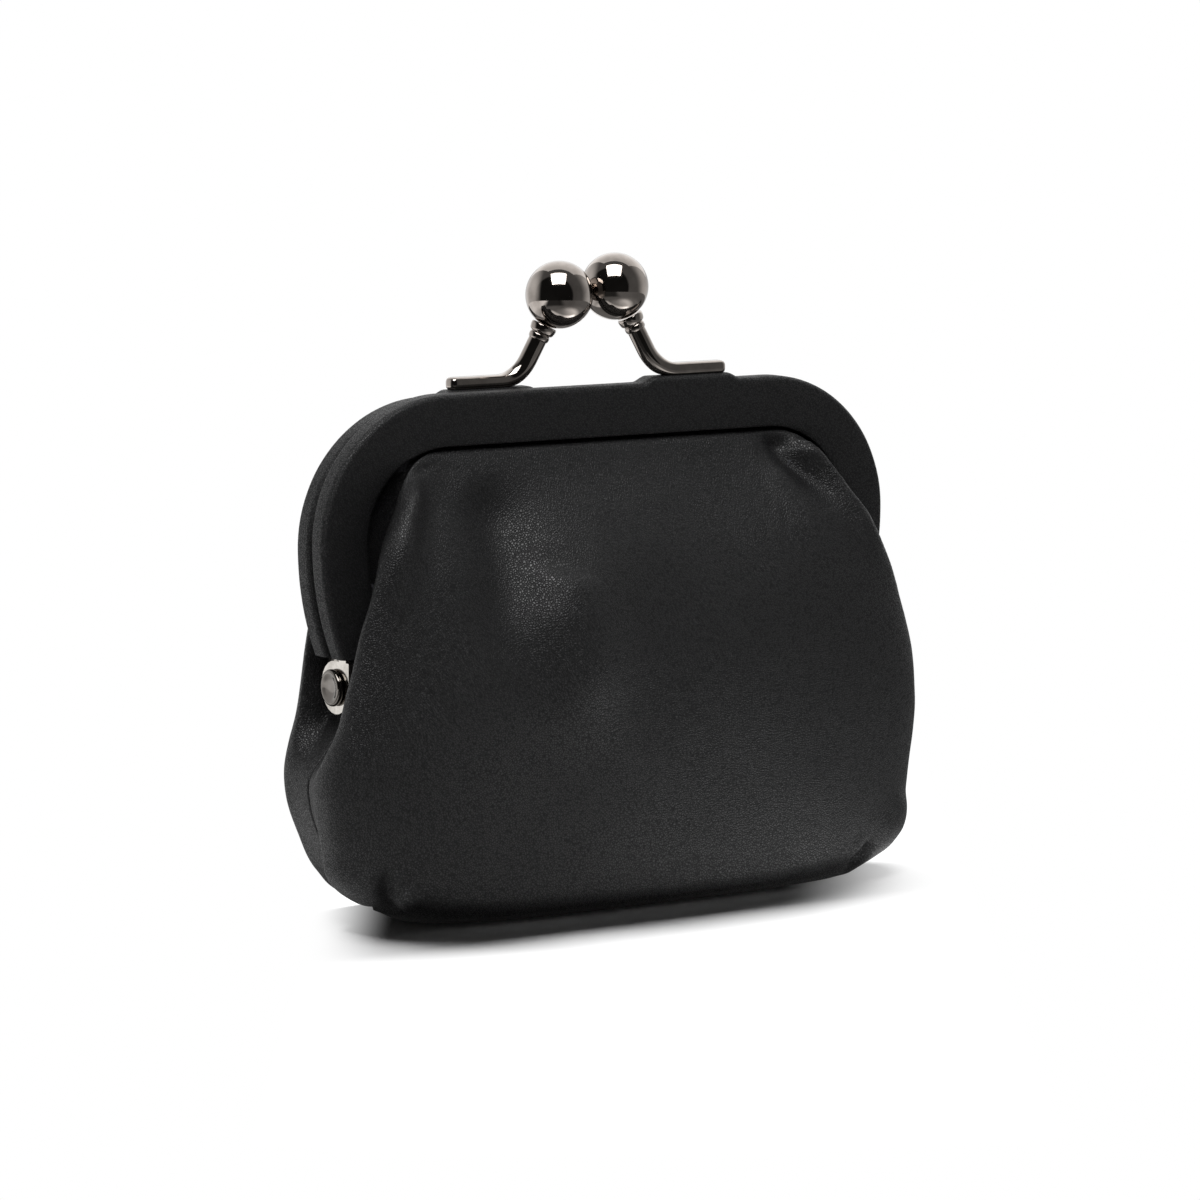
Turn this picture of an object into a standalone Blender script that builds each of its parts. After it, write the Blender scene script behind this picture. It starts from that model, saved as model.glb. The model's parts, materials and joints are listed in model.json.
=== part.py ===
"""Leather clasp purse: a soft pouch hung in a hinged frame that closes with two balls.

Metres, +Z up. The purse stands on the floor at z = 0, its front looks along -Y, and its origin
is the middle of its footprint. It is modelled about the plane where its halves part, from which
depths are counted outwards, and moved to its origin at the end.
"""
import math

import bmesh
import bpy
from mathutils import Matrix, Vector

# Frame halves, measured over the leather
FRAME_WIDTH = 0.0988
FRAME_TOP = 0.0759
BACK_TOP_DROP = 0.0008
CORNER_RADIUS = 0.0210
LEG_RADIUS = 0.0450
BAND_HEIGHT = 0.0076
HALF_THICKNESS = 0.0038
PARTING_GAP = 0.0004
COVER_THICKNESS = 0.0006
EDGE_ROUNDING = 0.0009
CHANNEL_WALL = 0.0004
TWINE_DIAMETER = 0.0009
TWINE_INSET = 0.0022

# Clearances between pieces
SNUG_GAP = 0.0002
SEAT_GAP = 0.0003

# Hinges at the foot of the frame legs
HINGE_HEIGHT = 0.0340
EAR_RADIUS = 0.0039
EAR_THICKNESS = 0.0008
EAR_INSET = 0.0010
RIVET_RADIUS = 0.0010
RIVET_HEAD_RADIUS = 0.0028
RIVET_HEAD_HEIGHT = 0.0009
RIVET_TAIL_RADIUS = 0.0018
RIVET_TAIL_HEIGHT = 0.0006
EAR_ROOT_HEIGHT = 0.0022

# Ball clasp, measured from the top of its own frame half
BALL_DIAMETER = 0.0100
BALL_SPACING = 0.0104
BALL_CROSSING = 0.0010
BALL_HEIGHT = 0.0142
CLASP_OFFSET = -0.0019
STEM_DIAMETER = 0.0022
STEM_LEAN = math.radians(24.0)
BEND_RADIUS = 0.0034
FOOT_REACH = 0.0233
FOOT_THICKNESS = 0.0012
FOOT_WIDTH = 0.0024
PAD_RISE = 0.0010
PAD_RAMP = 0.0018
COLLAR_RADIUS = 0.0019
COLLAR_LENGTH = 0.0016

# Pouch
SIDE_SWELL = 0.0026
FRONT_DEPTH = 0.0170
BACK_DEPTH = 0.0121
FRONT_OVERHANG = 0.0100
BACK_OVERHANG = 0.0083
LEATHER_THICKNESS = 0.0010
SKIVED_THICKNESS = 0.0006
LINING_THICKNESS = 0.0003
LINING_GAP = 0.0004
TUCK_DEPTH = 0.0040
EAR_CLEARANCE = 0.0009
VALLEY_EASE = 0.0013
VALLEY_RAMP = 0.0080

# Places worked out from the sizes above
HALF_WIDTH = FRAME_WIDTH / 2
POUCH_HALF_WIDTH = HALF_WIDTH + SIDE_SWELL
LEG_END = HINGE_HEIGHT + EAR_RADIUS + SEAT_GAP + PARTING_GAP / 2
BODY_TOP = LEG_END - SEAT_GAP
UPPER_FOOT = LEG_END + SEAT_GAP
FACE_DEPTH = PARTING_GAP / 2 + HALF_THICKNESS
MIDDLE_DEPTH = PARTING_GAP / 2 + HALF_THICKNESS / 2
CHANNEL_INSET = COVER_THICKNESS + SNUG_GAP
CHANNEL_FACE = FACE_DEPTH - CHANNEL_INSET
CHANNEL_BACK = PARTING_GAP / 2 + CHANNEL_INSET
TUCKED_DEPTH = CHANNEL_FACE - CHANNEL_WALL - SNUG_GAP
MOUTH_INSET = BAND_HEIGHT + SEAT_GAP
STRAIGHT_DEPTH = EAR_RADIUS + EAR_CLEARANCE
VALLEY_FOOT = HINGE_HEIGHT - EAR_RADIUS - EAR_CLEARANCE

# Pouch forms, chosen by eye as shares of the sizes that they follow.
# Side seam: height as a share of the body's height, x as a share of the pouch's half width.
SEAM_SHARES = (
    (0.0, 0.744), (0.026, 0.775), (0.066, 0.812), (0.157, 0.869), (0.315, 0.923), (0.459, 0.954),
    (0.554, 0.954), (0.659, 0.896),
)
# Body panels: height, x of the side fold, depth of the side fold, depth of the middle.
FRONT_BODY_SHARES = (
    (0.0, 0.808, 0.153, 0.729), (0.026, 0.831, 0.188, 0.824), (0.066, 0.885, 0.259, 0.894),
    (0.157, 0.96, 0.318, 0.959), (0.315, 0.975, 0.318, 0.994), (0.459, 0.987, 0.306, 1.0),
    (0.554, 0.994, 0.329, 1.0), (0.659, 0.985, 0.435, 1.0), (0.764, 0.967, 0.524, 0.988),
    (0.895, 0.952, 0.576, 0.965), (1.0, 0.933, 0.6, 0.941),
)
BACK_BODY_SHARES = (
    (0.0, 0.74, 0.479, 0.661), (0.026, 0.779, 0.512, 0.76), (0.066, 0.827, 0.545, 0.81),
    (0.157, 0.873, 0.545, 0.893), (0.315, 0.915, 0.521, 0.959), (0.459, 0.948, 0.512, 0.992),
    (0.554, 0.952, 0.529, 1.0), (0.659, 0.94, 0.512, 1.0), (0.764, 0.921, 0.521, 0.992),
    (0.895, 0.908, 0.521, 0.975), (1.0, 0.896, 0.512, 0.95),
)
# Upper panels: height from the hinge to the mouth, overhang past the frame's inner edge,
# depth of the side fold, depth of the middle.
FRONT_UPPER_SHARES = (
    (0.0, 1.0, 0.606, 0.941), (0.133, 0.79, 0.624, 0.912), (0.3, 0.525, 0.647, 0.859),
    (0.502, 0.173, 0.641, 0.753), (0.669, 0.0, 0.565, 0.635), (0.802, 0.0, 0.447, 0.524),
    (0.904, 0.0, 0.341, 0.406), (0.962, 0.0, 0.259, 0.294), (1.0, 0.0, 0.153, 0.153),
)
BACK_UPPER_SHARES = (
    (0.0, 1.0, 0.512, 0.95), (0.13, 0.734, 0.504, 0.909), (0.298, 0.415, 0.488, 0.851),
    (0.498, 0.135, 0.463, 0.769), (0.663, 0.0, 0.438, 0.678), (0.796, 0.0, 0.405, 0.579),
    (0.898, 0.0, 0.397, 0.463), (0.954, 0.0, 0.314, 0.347), (1.0, 0.0, 0.215, 0.215),
)
# Heights of the mesh rows, closer together where the form turns.
BODY_ROW_SHARES = (0.0, 0.03, 0.09, 0.19, 0.33, 0.46, 0.57, 0.68, 0.79, 0.9, 1.0)
UPPER_ROW_SHARES = (0.0, 0.14, 0.3, 0.46, 0.61, 0.75, 0.86, 0.93, 0.975)
# Step between points along a straight edge, and how square the panels' plan is.
EDGE_STEP_SHARE = 0.025
FRONT_ROUNDNESS = 3.0

# Forms of the small turned pieces, as (radius share, height share) points.
RIVET_TAIL_SHARES = ((0.8, 1.0), (1.0, 0.5))
RIVET_HEAD_SHARES = ((1.0, 0.35), (0.9, 0.88), (0.75, 1.0), (0.45, 0.75), (0.0, 0.65))
COLLAR_NECK_SHARES = ((1.0, 0.0), (1.15, 0.3))
COLLAR_RING_SHARES = ((0.85, 0.42), (1.0, 0.62), (1.0, 0.82))
COLLAR_CUP_SHARES = (0.9, 0.6, 0.3)
# Clasp foot: places of its rings from the outer end, size of the end ring, and how long the
# bend and how early the foot turns round.
FOOT_RING_SHARES = (0.0, 0.06, 0.6)
FOOT_END_SHARE = 0.8
BEND_LENGTH_SHARE = 1.6
BEND_ROUNDING_SHARE = 1.6

# Sampling
SIDE_STEPS = 4
FRONT_STEPS = 7
TOP_STEPS = 16
LEG_STEPS = 5
CORNER_STEPS = 9
BALL_SIDES = 24
BALL_RINGS = 12
STEM_SIDES = 12
BEND_STEPS = 6
TURNED_SIDES = 18
TWINE_SIDES = 6
EAR_SIDES = 18


def mix(low, high, share):
    """Value a share of the way from low to high."""
    return low + (high - low) * share


def smooth(share):
    """Share eased at both ends."""
    share = min(max(share, 0.0), 1.0)
    return share * share * (3.0 - 2.0 * share)


def table_value(table, place, column):
    """Column of a table of shares at a place between its rows, on a smooth curve."""
    rows = len(table)
    low = 0
    while low < rows - 2 and table[low + 1][0] < place:
        low += 1
    high = low + 1
    span = table[high][0] - table[low][0]
    share = (place - table[low][0]) / span

    def slope(row):
        before = max(row - 1, 0)
        after = min(row + 1, rows - 1)
        rise = table[after][column] - table[before][column]
        return rise / (table[after][0] - table[before][0]) * span

    start, end = table[low][column], table[high][column]
    square, cube = share * share, share ** 3
    return (
        start * (2 * cube - 3 * square + 1)
        + slope(low) * (cube - 2 * square + share)
        + end * (3 * square - 2 * cube)
        + slope(high) * (cube - square)
    )


def material(name, colour, roughness, metallic=0.0):
    """Plain material with the finish of one kind of piece."""
    finish = bpy.data.materials.new(name)
    finish.use_nodes = True
    shader = finish.node_tree.nodes["Principled BSDF"]
    shader.inputs["Base Color"].default_value = (*colour, 1.0)
    shader.inputs["Roughness"].default_value = roughness
    shader.inputs["Metallic"].default_value = metallic
    finish.diffuse_color = (*colour, 1.0)
    return finish


def add_object(name, mesh, finish, parent=None, location=(0.0, 0.0, 0.0), axis=None):
    """Named object of a mesh; axis turns its local Z along a direction."""
    piece = bpy.data.objects.new(name, mesh)
    bpy.context.scene.collection.objects.link(piece)
    if finish:
        mesh.materials.append(finish)
    piece.location = location
    if axis is not None:
        piece.rotation_euler = Vector(axis).to_track_quat("Z", "Y").to_euler()
    if parent:
        piece.parent = parent
        piece.matrix_parent_inverse = Matrix.Translation(-parent.location)
    return piece


def mesh_from_bmesh(name, shape, crease_angle=math.radians(35.0)):
    """Mesh with its faces pointing out and its hard edges kept sharp."""
    bmesh.ops.recalc_face_normals(shape, faces=shape.faces)
    if shape.calc_volume(signed=True) < 0.0:
        bmesh.ops.reverse_faces(shape, faces=shape.faces)
    mesh = bpy.data.meshes.new(name)
    shape.to_mesh(mesh)
    shape.free()
    mesh.shade_smooth()
    mesh.set_sharp_from_angle(angle=crease_angle)
    return mesh


def loft(name, rings):
    """Closed solid through rings of points, its two ends capped."""
    shape = bmesh.new()
    layers = [[shape.verts.new(point) for point in ring] for ring in rings]
    for near, far in zip(layers, layers[1:]):
        count = len(near)
        for index in range(count):
            after = (index + 1) % count
            shape.faces.new((near[index], near[after], far[after], far[index]))
    shape.faces.new(layers[0])
    shape.faces.new(layers[-1])
    return mesh_from_bmesh(name, shape)


def circle_points(radius, sides):
    """Points (x, y) round a circle."""
    turns = [math.tau * index / sides for index in range(sides)]
    return [(radius * math.cos(angle), radius * math.sin(angle)) for angle in turns]


def turned(name, profile, sides):
    """Solid turned round local Z from (radius, height) points that start and end on the axis."""
    shape = bmesh.new()
    bottom = shape.verts.new((0.0, 0.0, profile[0][1]))
    top = shape.verts.new((0.0, 0.0, profile[-1][1]))
    layers = []
    for radius, height in profile[1:-1]:
        ring = circle_points(radius, sides)
        layers.append([shape.verts.new((x, y, height)) for x, y in ring])
    for index in range(sides):
        after = (index + 1) % sides
        shape.faces.new((bottom, layers[0][after], layers[0][index]))
        shape.faces.new((top, layers[-1][index], layers[-1][after]))
        for near, far in zip(layers, layers[1:]):
            shape.faces.new((near[index], near[after], far[after], far[index]))
    return mesh_from_bmesh(name, shape)


def box_mesh(name, low, high):
    """Box between two corners."""
    shape = bmesh.new()
    bmesh.ops.create_cube(shape, size=1.0)
    middle = [(a + b) / 2 for a, b in zip(low, high)]
    size = [b - a for a, b in zip(low, high)]
    bmesh.ops.transform(shape, matrix=Matrix.LocRotScale(middle, None, size), verts=shape.verts)
    return mesh_from_bmesh(name, shape)


def join_by_union(target, helper):
    """Adds a helper solid to a piece and keeps the helper out of the model."""
    helper.hide_render = True
    helper.display_type = "WIRE"
    union = target.modifiers.new("join_" + helper.name, "BOOLEAN")
    union.operation = "UNION"
    union.object = helper


# Frame outline

def corner_centre_height(top):
    """Height where the corner arc meets the leg."""
    return top - CORNER_RADIUS


def leg_x(height, inset, top):
    """x of the leg at a height, a distance inside the outline."""
    reach = LEG_RADIUS - inset
    drop = corner_centre_height(top) - height
    return HALF_WIDTH - LEG_RADIUS + math.sqrt(reach * reach - drop * drop)


def outline_x(height, inset, top):
    """x of the outline at a height, on the leg or on the corner arc."""
    rise = height - corner_centre_height(top)
    if rise <= 0.0:
        return leg_x(height, inset, top)
    reach = CORNER_RADIUS - inset
    return HALF_WIDTH - CORNER_RADIUS + math.sqrt(max(reach * reach - rise * rise, 0.0))


def outline_station(station, inset, top, end_height):
    """Point (x, z) at a station: ("leg", share), ("corner", angle) or ("top", x share)."""
    kind, value = station
    centre_height = corner_centre_height(top)
    centre_x = HALF_WIDTH - CORNER_RADIUS
    if kind == "leg":
        height = mix(end_height, centre_height, value)
        return leg_x(height, inset, top), height
    if kind == "corner":
        reach = CORNER_RADIUS - inset
        return centre_x + reach * math.cos(value), centre_height + reach * math.sin(value)
    return centre_x * value, top - inset


def outline_stations(top_steps):
    """Stations from the foot of the right leg over the top to the middle, then mirrored."""
    half = [("leg", index / LEG_STEPS) for index in range(LEG_STEPS)]
    half += [("corner", math.pi / 2 * index / CORNER_STEPS) for index in range(CORNER_STEPS)]
    across = [("top", 1.0 - 2.0 * index / top_steps) for index in range(top_steps + 1)]
    right = [(1.0, station) for station in half + across]
    left = [(-1.0, station) for station in reversed(half)]
    return right + left


def swept_band(name, section, side, top, end_height, top_steps, lift=None):
    """Solid with a section of (inset, depth, lifted) points, swept round the frame outline."""
    rings = []
    for mirror, station in outline_stations(top_steps):
        ring = []
        for inset, depth, lifted in section:
            x, z = outline_station(station, inset, top, end_height)
            if lifted and lift:
                z += lift(mirror * x)
            ring.append((mirror * x, side * depth, z))
        rings.append(ring)
    return loft(name, rings)


# Frame pieces

def cover_section():
    """Leather wrapped over the band: face, rounded top edges and parting side."""
    def rounded(face_depth, inward):
        points = []
        for angle in (0.0, math.pi / 4, math.pi / 2):
            inset = EDGE_ROUNDING * (1 - math.sin(angle))
            points.append((inset, face_depth + inward * EDGE_ROUNDING * (1 - math.cos(angle)), True))
        return points

    near, far = PARTING_GAP / 2, FACE_DEPTH
    inner_near, inner_far = near + COVER_THICKNESS, far - COVER_THICKNESS
    section = [(BAND_HEIGHT, far, False)] + rounded(far, -1) + rounded(near, 1)[::-1]
    section += [(BAND_HEIGHT, near, False), (BAND_HEIGHT, inner_near, False)]
    section += [(COVER_THICKNESS, inner_near, False), (COVER_THICKNESS, inner_far, False)]
    return section + [(BAND_HEIGHT, inner_far, False)]


def channel_section():
    """Metal channel under the leather, open to the pouch."""
    mouth = BAND_HEIGHT - CHANNEL_WALL
    floor = CHANNEL_INSET + CHANNEL_WALL
    back, face = CHANNEL_BACK, CHANNEL_FACE
    outer = [(mouth, face), (CHANNEL_INSET, face), (CHANNEL_INSET, back), (mouth, back)]
    back, face = back + CHANNEL_WALL, face - CHANNEL_WALL
    inner = [(mouth, back), (floor, back), (floor, face), (mouth, face)]
    return [(inset, depth, False) for inset, depth in outer + inner]


def twine_section():
    """Round twine lying in the bottom of the channel."""
    ring = circle_points(TWINE_DIAMETER / 2, TWINE_SIDES)
    return [(TWINE_INSET + x, MIDDLE_DEPTH + y, False) for x, y in ring]


def pad_lift(direction):
    """How far the leather rises under the clasp's foot, by x."""
    inner = clasp_foot_start() - STEM_DIAMETER / 2
    outer = FOOT_REACH

    def lift(x):
        reach = (x - CLASP_OFFSET) * direction
        rise_in = smooth((reach - inner + PAD_RAMP) / PAD_RAMP)
        rise_out = smooth((outer + PAD_RAMP - reach) / PAD_RAMP)
        return PAD_RISE * rise_in * rise_out

    return lift


def ear_outline(side):
    """Points (y, z) round an ear: straight up to the leg on its own side, round on the other."""
    ear_top = HINGE_HEIGHT + EAR_RADIUS
    root_top = LEG_END + EAR_ROOT_HEIGHT
    near, far = CHANNEL_BACK + SNUG_GAP / 2, CHANNEL_FACE - SNUG_GAP / 2
    turns = [-1.5 * math.pi * index / EAR_SIDES for index in range(EAR_SIDES + 1)]
    points = [(EAR_RADIUS * math.cos(a), HINGE_HEIGHT + EAR_RADIUS * math.sin(a)) for a in turns]
    points += [(near, ear_top), (near, root_top), (far, root_top), (far, ear_top)]
    points += [(EAR_RADIUS, ear_top)]
    return [(side * depth, height) for depth, height in points]


def ear_plate(name, inner_x, side, mirror):
    """Flat hinge ear with a rivet hole and a root that stands in the channel."""
    circle = circle_points(RIVET_RADIUS + SEAT_GAP, EAR_SIDES)
    hole = [(y, HINGE_HEIGHT + z) for y, z in circle]
    shape = bmesh.new()
    edges = []
    for loop in (ear_outline(side), hole):
        corners = [shape.verts.new((mirror * inner_x, y, z)) for y, z in loop]
        edges += [shape.edges.new((a, b)) for a, b in zip(corners, corners[1:] + corners[:1])]
    faces = bmesh.ops.triangle_fill(shape, use_beauty=True, edges=edges)["geom"]
    faces = [face for face in faces if isinstance(face, bmesh.types.BMFace)]
    grown = bmesh.ops.extrude_face_region(shape, geom=faces)["geom"]
    moved = [vertex for vertex in grown if isinstance(vertex, bmesh.types.BMVert)]
    bmesh.ops.translate(shape, vec=(mirror * EAR_THICKNESS, 0.0, 0.0), verts=moved)
    return mesh_from_bmesh(name, shape)


def front_ear_x():
    """Inner face of the front half's ears, outside the back half's."""
    return leg_x(LEG_END, 0.0, FRAME_TOP) - EAR_INSET - EAR_THICKNESS


def back_ear_x():
    """Inner face of the back half's ears."""
    return front_ear_x() - SEAT_GAP - SNUG_GAP / 2 - EAR_THICKNESS


def valley_x():
    """x of the pouch's side beside the hinge, clear of the rivet's tail."""
    return back_ear_x() - SEAT_GAP - RIVET_TAIL_HEIGHT - SEAT_GAP


def root_block(name, ear_x, side, mirror):
    """Block in the channel's foot that the ear's root stands in."""
    near_x, far_x = min(ear_x, front_ear_x() - EAR_THICKNESS), front_ear_x() + EAR_THICKNESS
    xs = sorted((mirror * near_x, mirror * far_x))
    ys = sorted((side * (CHANNEL_BACK + SNUG_GAP / 2), side * (CHANNEL_FACE - SNUG_GAP / 2)))
    low = (xs[0], ys[0], LEG_END + SNUG_GAP / 2)
    return box_mesh(name, low, (xs[1], ys[1], LEG_END + EAR_ROOT_HEIGHT))


def frame_half(half, side, top, ear_x, parent, finishes):
    """Channel with its ears, leather cover and packing twine of one half."""
    mesh = swept_band(half + "_frame_channel", channel_section(), side, top, LEG_END, 4)
    channel = add_object(half + "_frame_channel", mesh, finishes["channel"], parent)
    for mirror, word in ((-1, "left"), (1, "right")):
        name = half + "_" + word + "_ear"
        plate = ear_plate(name, ear_x, side, mirror)
        join_by_union(channel, add_object(name, plate, None, parent))
        name = half + "_" + word + "_root"
        block = root_block(name, ear_x, side, mirror)
        join_by_union(channel, add_object(name, block, None, parent))
    lift = pad_lift(-side)
    mesh = swept_band(half + "_frame_cover", cover_section(), side, top, LEG_END, TOP_STEPS, lift)
    add_object(half + "_frame_cover", mesh, finishes["leather"], parent)
    twine_end = LEG_END + EAR_ROOT_HEIGHT + SEAT_GAP
    mesh = swept_band(half + "_packing_twine", twine_section(), side, top, twine_end, 4)
    add_object(half + "_packing_twine", mesh, finishes["twine"], parent)


def rivet(word, mirror, finish):
    """Hinge rivet: dished outer head, shank through both ears, tail inside."""
    outer_face = front_ear_x() + EAR_THICKNESS + SNUG_GAP
    inner_face = back_ear_x() - SEAT_GAP
    length = outer_face - inner_face
    profile = [(0.0, -RIVET_TAIL_HEIGHT)]
    profile += [(RIVET_TAIL_RADIUS * r, -RIVET_TAIL_HEIGHT * h) for r, h in RIVET_TAIL_SHARES]
    profile += [(RIVET_TAIL_RADIUS, 0.0), (RIVET_RADIUS, 0.0)]
    profile += [(RIVET_RADIUS, length), (RIVET_HEAD_RADIUS, length)]
    profile += [(RIVET_HEAD_RADIUS * r, length + RIVET_HEAD_HEIGHT * h) for r, h in RIVET_HEAD_SHARES]
    mesh = turned(word + "_hinge_rivet", profile, TURNED_SIDES)
    place = (mirror * inner_face, 0.0, HINGE_HEIGHT)
    add_object(word + "_hinge_rivet", mesh, finish, None, place, (mirror, 0.0, 0.0))


# Ball clasp

def clasp_foot_start():
    """Distance from the clasp's middle where the leaning stem would meet the foot."""
    drop = BALL_HEIGHT - PAD_RISE - SNUG_GAP - FOOT_THICKNESS / 2
    return BALL_SPACING / 2 + drop * math.tan(STEM_LEAN)


def clasp_path(centre, corner, stem_end):
    """Points from the outer end of the foot to the end of the stem, each with its roundness."""
    up_stem = (centre - corner).normalized()
    bend = BEND_RADIUS * math.tan((math.pi / 2 - STEM_LEAN) / 2) * BEND_LENGTH_SHARE
    bend_out = corner + Vector((bend, 0.0, 0.0))
    bend_in = corner + up_stem * bend
    foot_end = Vector((FOOT_REACH, corner.y, corner.z))
    path = [(foot_end.lerp(bend_out, share), 0.0) for share in FOOT_RING_SHARES]
    for index in range(BEND_STEPS + 1):
        share = index / BEND_STEPS
        point = bend_out * (1 - share) ** 2 + corner * 2 * share * (1 - share) + bend_in * share ** 2
        path.append((point, smooth(share * BEND_ROUNDING_SHARE)))
    return path + [(bend_in.lerp(stem_end, 0.5), 1.0), (stem_end, 1.0)]


def clasp_rings(path):
    """Rings round the path, flat along the foot and round up the stem."""
    rings = []
    for index, (point, roundness) in enumerate(path):
        before, after = path[max(index - 1, 0)][0], path[min(index + 1, len(path) - 1)][0]
        along = (after - before).normalized()
        across = Vector((0.0, 1.0, 0.0))
        across = (across - along * across.dot(along)).normalized()
        rise = along.cross(across)
        scale = FOOT_END_SHARE if index == 0 else 1.0
        half_width = mix(FOOT_WIDTH, STEM_DIAMETER, roundness) / 2 * scale
        half_height = mix(FOOT_THICKNESS, STEM_DIAMETER, roundness) / 2 * scale
        ring = circle_points(1.0, STEM_SIDES)
        rings.append([point + across * (half_width * c) + rise * (half_height * s) for c, s in ring])
    return rings


def clasp_half(half, side, top, parent, finish):
    """Foot bar and bent stem in one piece, collar and ball of one half."""
    foot_height = PAD_RISE + SNUG_GAP + FOOT_THICKNESS / 2
    centre = Vector((BALL_SPACING / 2, -BALL_CROSSING / 2, BALL_HEIGHT))
    corner = Vector((clasp_foot_start(), MIDDLE_DEPTH, foot_height))
    reach = BALL_DIAMETER / 2 + COLLAR_LENGTH + SNUG_GAP
    stem_end = centre - (centre - corner).normalized() * reach
    rings = clasp_rings(clasp_path(centre, corner, stem_end))
    placed = [[clasp_place(point, side, top) for point in ring] for ring in rings]
    add_object(half + "_clasp_arm", loft(half + "_clasp_arm", placed), finish, parent)
    ball_place = clasp_place(centre, side, top)
    axis = Vector(ball_place) - Vector(clasp_place(stem_end, side, top))
    add_object(half + "_clasp_collar", collar_mesh(half), finish, parent, ball_place, axis)
    add_object(half + "_clasp_ball", ball_mesh(half), finish, parent, ball_place, axis)


def clasp_place(point, side, top):
    """World place of a point given from the clasp's middle, its depth and its frame top."""
    return (CLASP_OFFSET - side * point.x, side * point.y, top + point.z)


def ball_mesh(half):
    """Polished ball, turned about its own middle."""
    radius = BALL_DIAMETER / 2
    turns = [math.pi * (index / BALL_RINGS - 0.5) for index in range(BALL_RINGS + 1)]
    profile = [(radius * math.cos(angle), radius * math.sin(angle)) for angle in turns]
    return turned(half + "_clasp_ball", profile, BALL_SIDES)


def collar_mesh(half):
    """Stepped collar that cups the underside of the ball, with the ball's middle as its origin."""
    seat = BALL_DIAMETER / 2 + SNUG_GAP
    foot = -(BALL_DIAMETER / 2 + COLLAR_LENGTH)
    radii = [share * COLLAR_RADIUS for share in COLLAR_CUP_SHARES]
    cup = [(radius, -math.sqrt(seat * seat - radius * radius)) for radius in radii]
    lip = cup[0][1]
    neck = STEM_DIAMETER / 2
    profile = [(0.0, foot)] + [(neck * r, mix(foot, lip, h)) for r, h in COLLAR_NECK_SHARES]
    profile += [(COLLAR_RADIUS * r, mix(foot, lip, h)) for r, h in COLLAR_RING_SHARES]
    return turned(half + "_clasp_collar", profile + cup + [(0.0, -seat)], TURNED_SIDES)


# Pouch panels

def side_points(end_x, end_depth, fold_x, fold_depth, straight):
    """Points (x, depth) from the seam or the frame to the side fold, straight out before they swing."""
    points = []
    straight = min(straight, fold_depth)
    for index in range(SIDE_STEPS):
        depth = mix(end_depth, fold_depth, index / SIDE_STEPS)
        swing = (depth - straight) / max(fold_depth - straight, SNUG_GAP)
        points.append((mix(end_x, fold_x, smooth(swing)), depth))
    return points


def front_points(fold_x, fold_depth, middle_depth):
    """Points (x, depth) from the side fold round to the middle."""
    points = []
    power = 2.0 / FRONT_ROUNDNESS
    for index in range(FRONT_STEPS):
        angle = math.pi / 2 * index / FRONT_STEPS
        x = fold_x * math.cos(angle) ** power
        points.append((x, mix(fold_depth, middle_depth, math.sin(angle) ** power)))
    return points + [(0.0, middle_depth)]


def half_section(end_x, end_depth, fold_x, fold_depth, middle_depth, straight):
    """Points (x, depth) from the side to the middle, through the side fold, at one height."""
    points = side_points(end_x, end_depth, fold_x, fold_depth, straight)
    return points + front_points(fold_x, fold_depth, middle_depth)


def straight_section(end_x, depth):
    """Points (x, depth) along a straight edge, as many as in a half section."""
    points = [(end_x * (1.0 - EDGE_STEP_SHARE * index), depth) for index in range(SIDE_STEPS)]
    fold_x = end_x * (1.0 - EDGE_STEP_SHARE * SIDE_STEPS)
    return points + front_points(fold_x, depth, depth)


def full_row(points, side, height):
    """Row from the left side over the middle to the right side."""
    left = [(-x, side * depth, height) for x, depth in points]
    right = [(x, side * depth, height) for x, depth in reversed(points[:-1])]
    return left + right


def seam_x(share):
    """x of the side seam, drawn in to the valley beside the hinge."""
    places = [(height, x * POUCH_HALF_WIDTH) for height, x in SEAM_SHARES]
    places += [(VALLEY_FOOT / BODY_TOP, valley_x() + VALLEY_EASE)]
    places += [(HINGE_HEIGHT / BODY_TOP, valley_x()), (1.0, leg_x(LEG_END, MOUTH_INSET, FRAME_TOP))]
    return table_value(places, share, 1)


def straight_depth(height):
    """How far out the side runs straight before it swings, at a height below the hinge."""
    return STRAIGHT_DEPTH * smooth(1.0 - (VALLEY_FOOT - height) / VALLEY_RAMP)


def body_rows(side, depth, shares):
    """Rows of a body panel from the seam under the bottom to the hinge."""
    bottom = straight_section(seam_x(0.0) * (1.0 - EDGE_STEP_SHARE), SEAT_GAP / 2)
    rows = [full_row(bottom, side, 0.0)]
    for place in BODY_ROW_SHARES:
        fold_x = table_value(shares, place, 1) * POUCH_HALF_WIDTH
        fold_depth = table_value(shares, place, 2) * depth
        middle = table_value(shares, place, 3) * depth
        straight = straight_depth(place * BODY_TOP)
        section = half_section(seam_x(place), SEAT_GAP / 2, fold_x, fold_depth, middle, straight)
        rows.append(full_row(section, side, place * BODY_TOP))
    return rows


def upper_rows(side, depth, shares, overhang, top):
    """Rows of an upper panel from the hinge to the frame's mouth."""
    rows = []
    mouth = top - MOUTH_INSET
    for place in UPPER_ROW_SHARES:
        height = mix(UPPER_FOOT, mouth, place)
        end_x = outline_x(height, MOUTH_INSET, top)
        fold_x = end_x + table_value(shares, place, 1) * overhang
        fold_depth = max(table_value(shares, place, 2) * depth, TUCKED_DEPTH)
        middle = max(table_value(shares, place, 3) * depth, TUCKED_DEPTH)
        section = half_section(end_x, TUCKED_DEPTH, fold_x, fold_depth, middle, STRAIGHT_DEPTH)
        rows.append(full_row(section, side, height))
    rows.append(full_row(straight_section(HALF_WIDTH - CORNER_RADIUS, TUCKED_DEPTH), side, mouth))
    return rows


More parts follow.
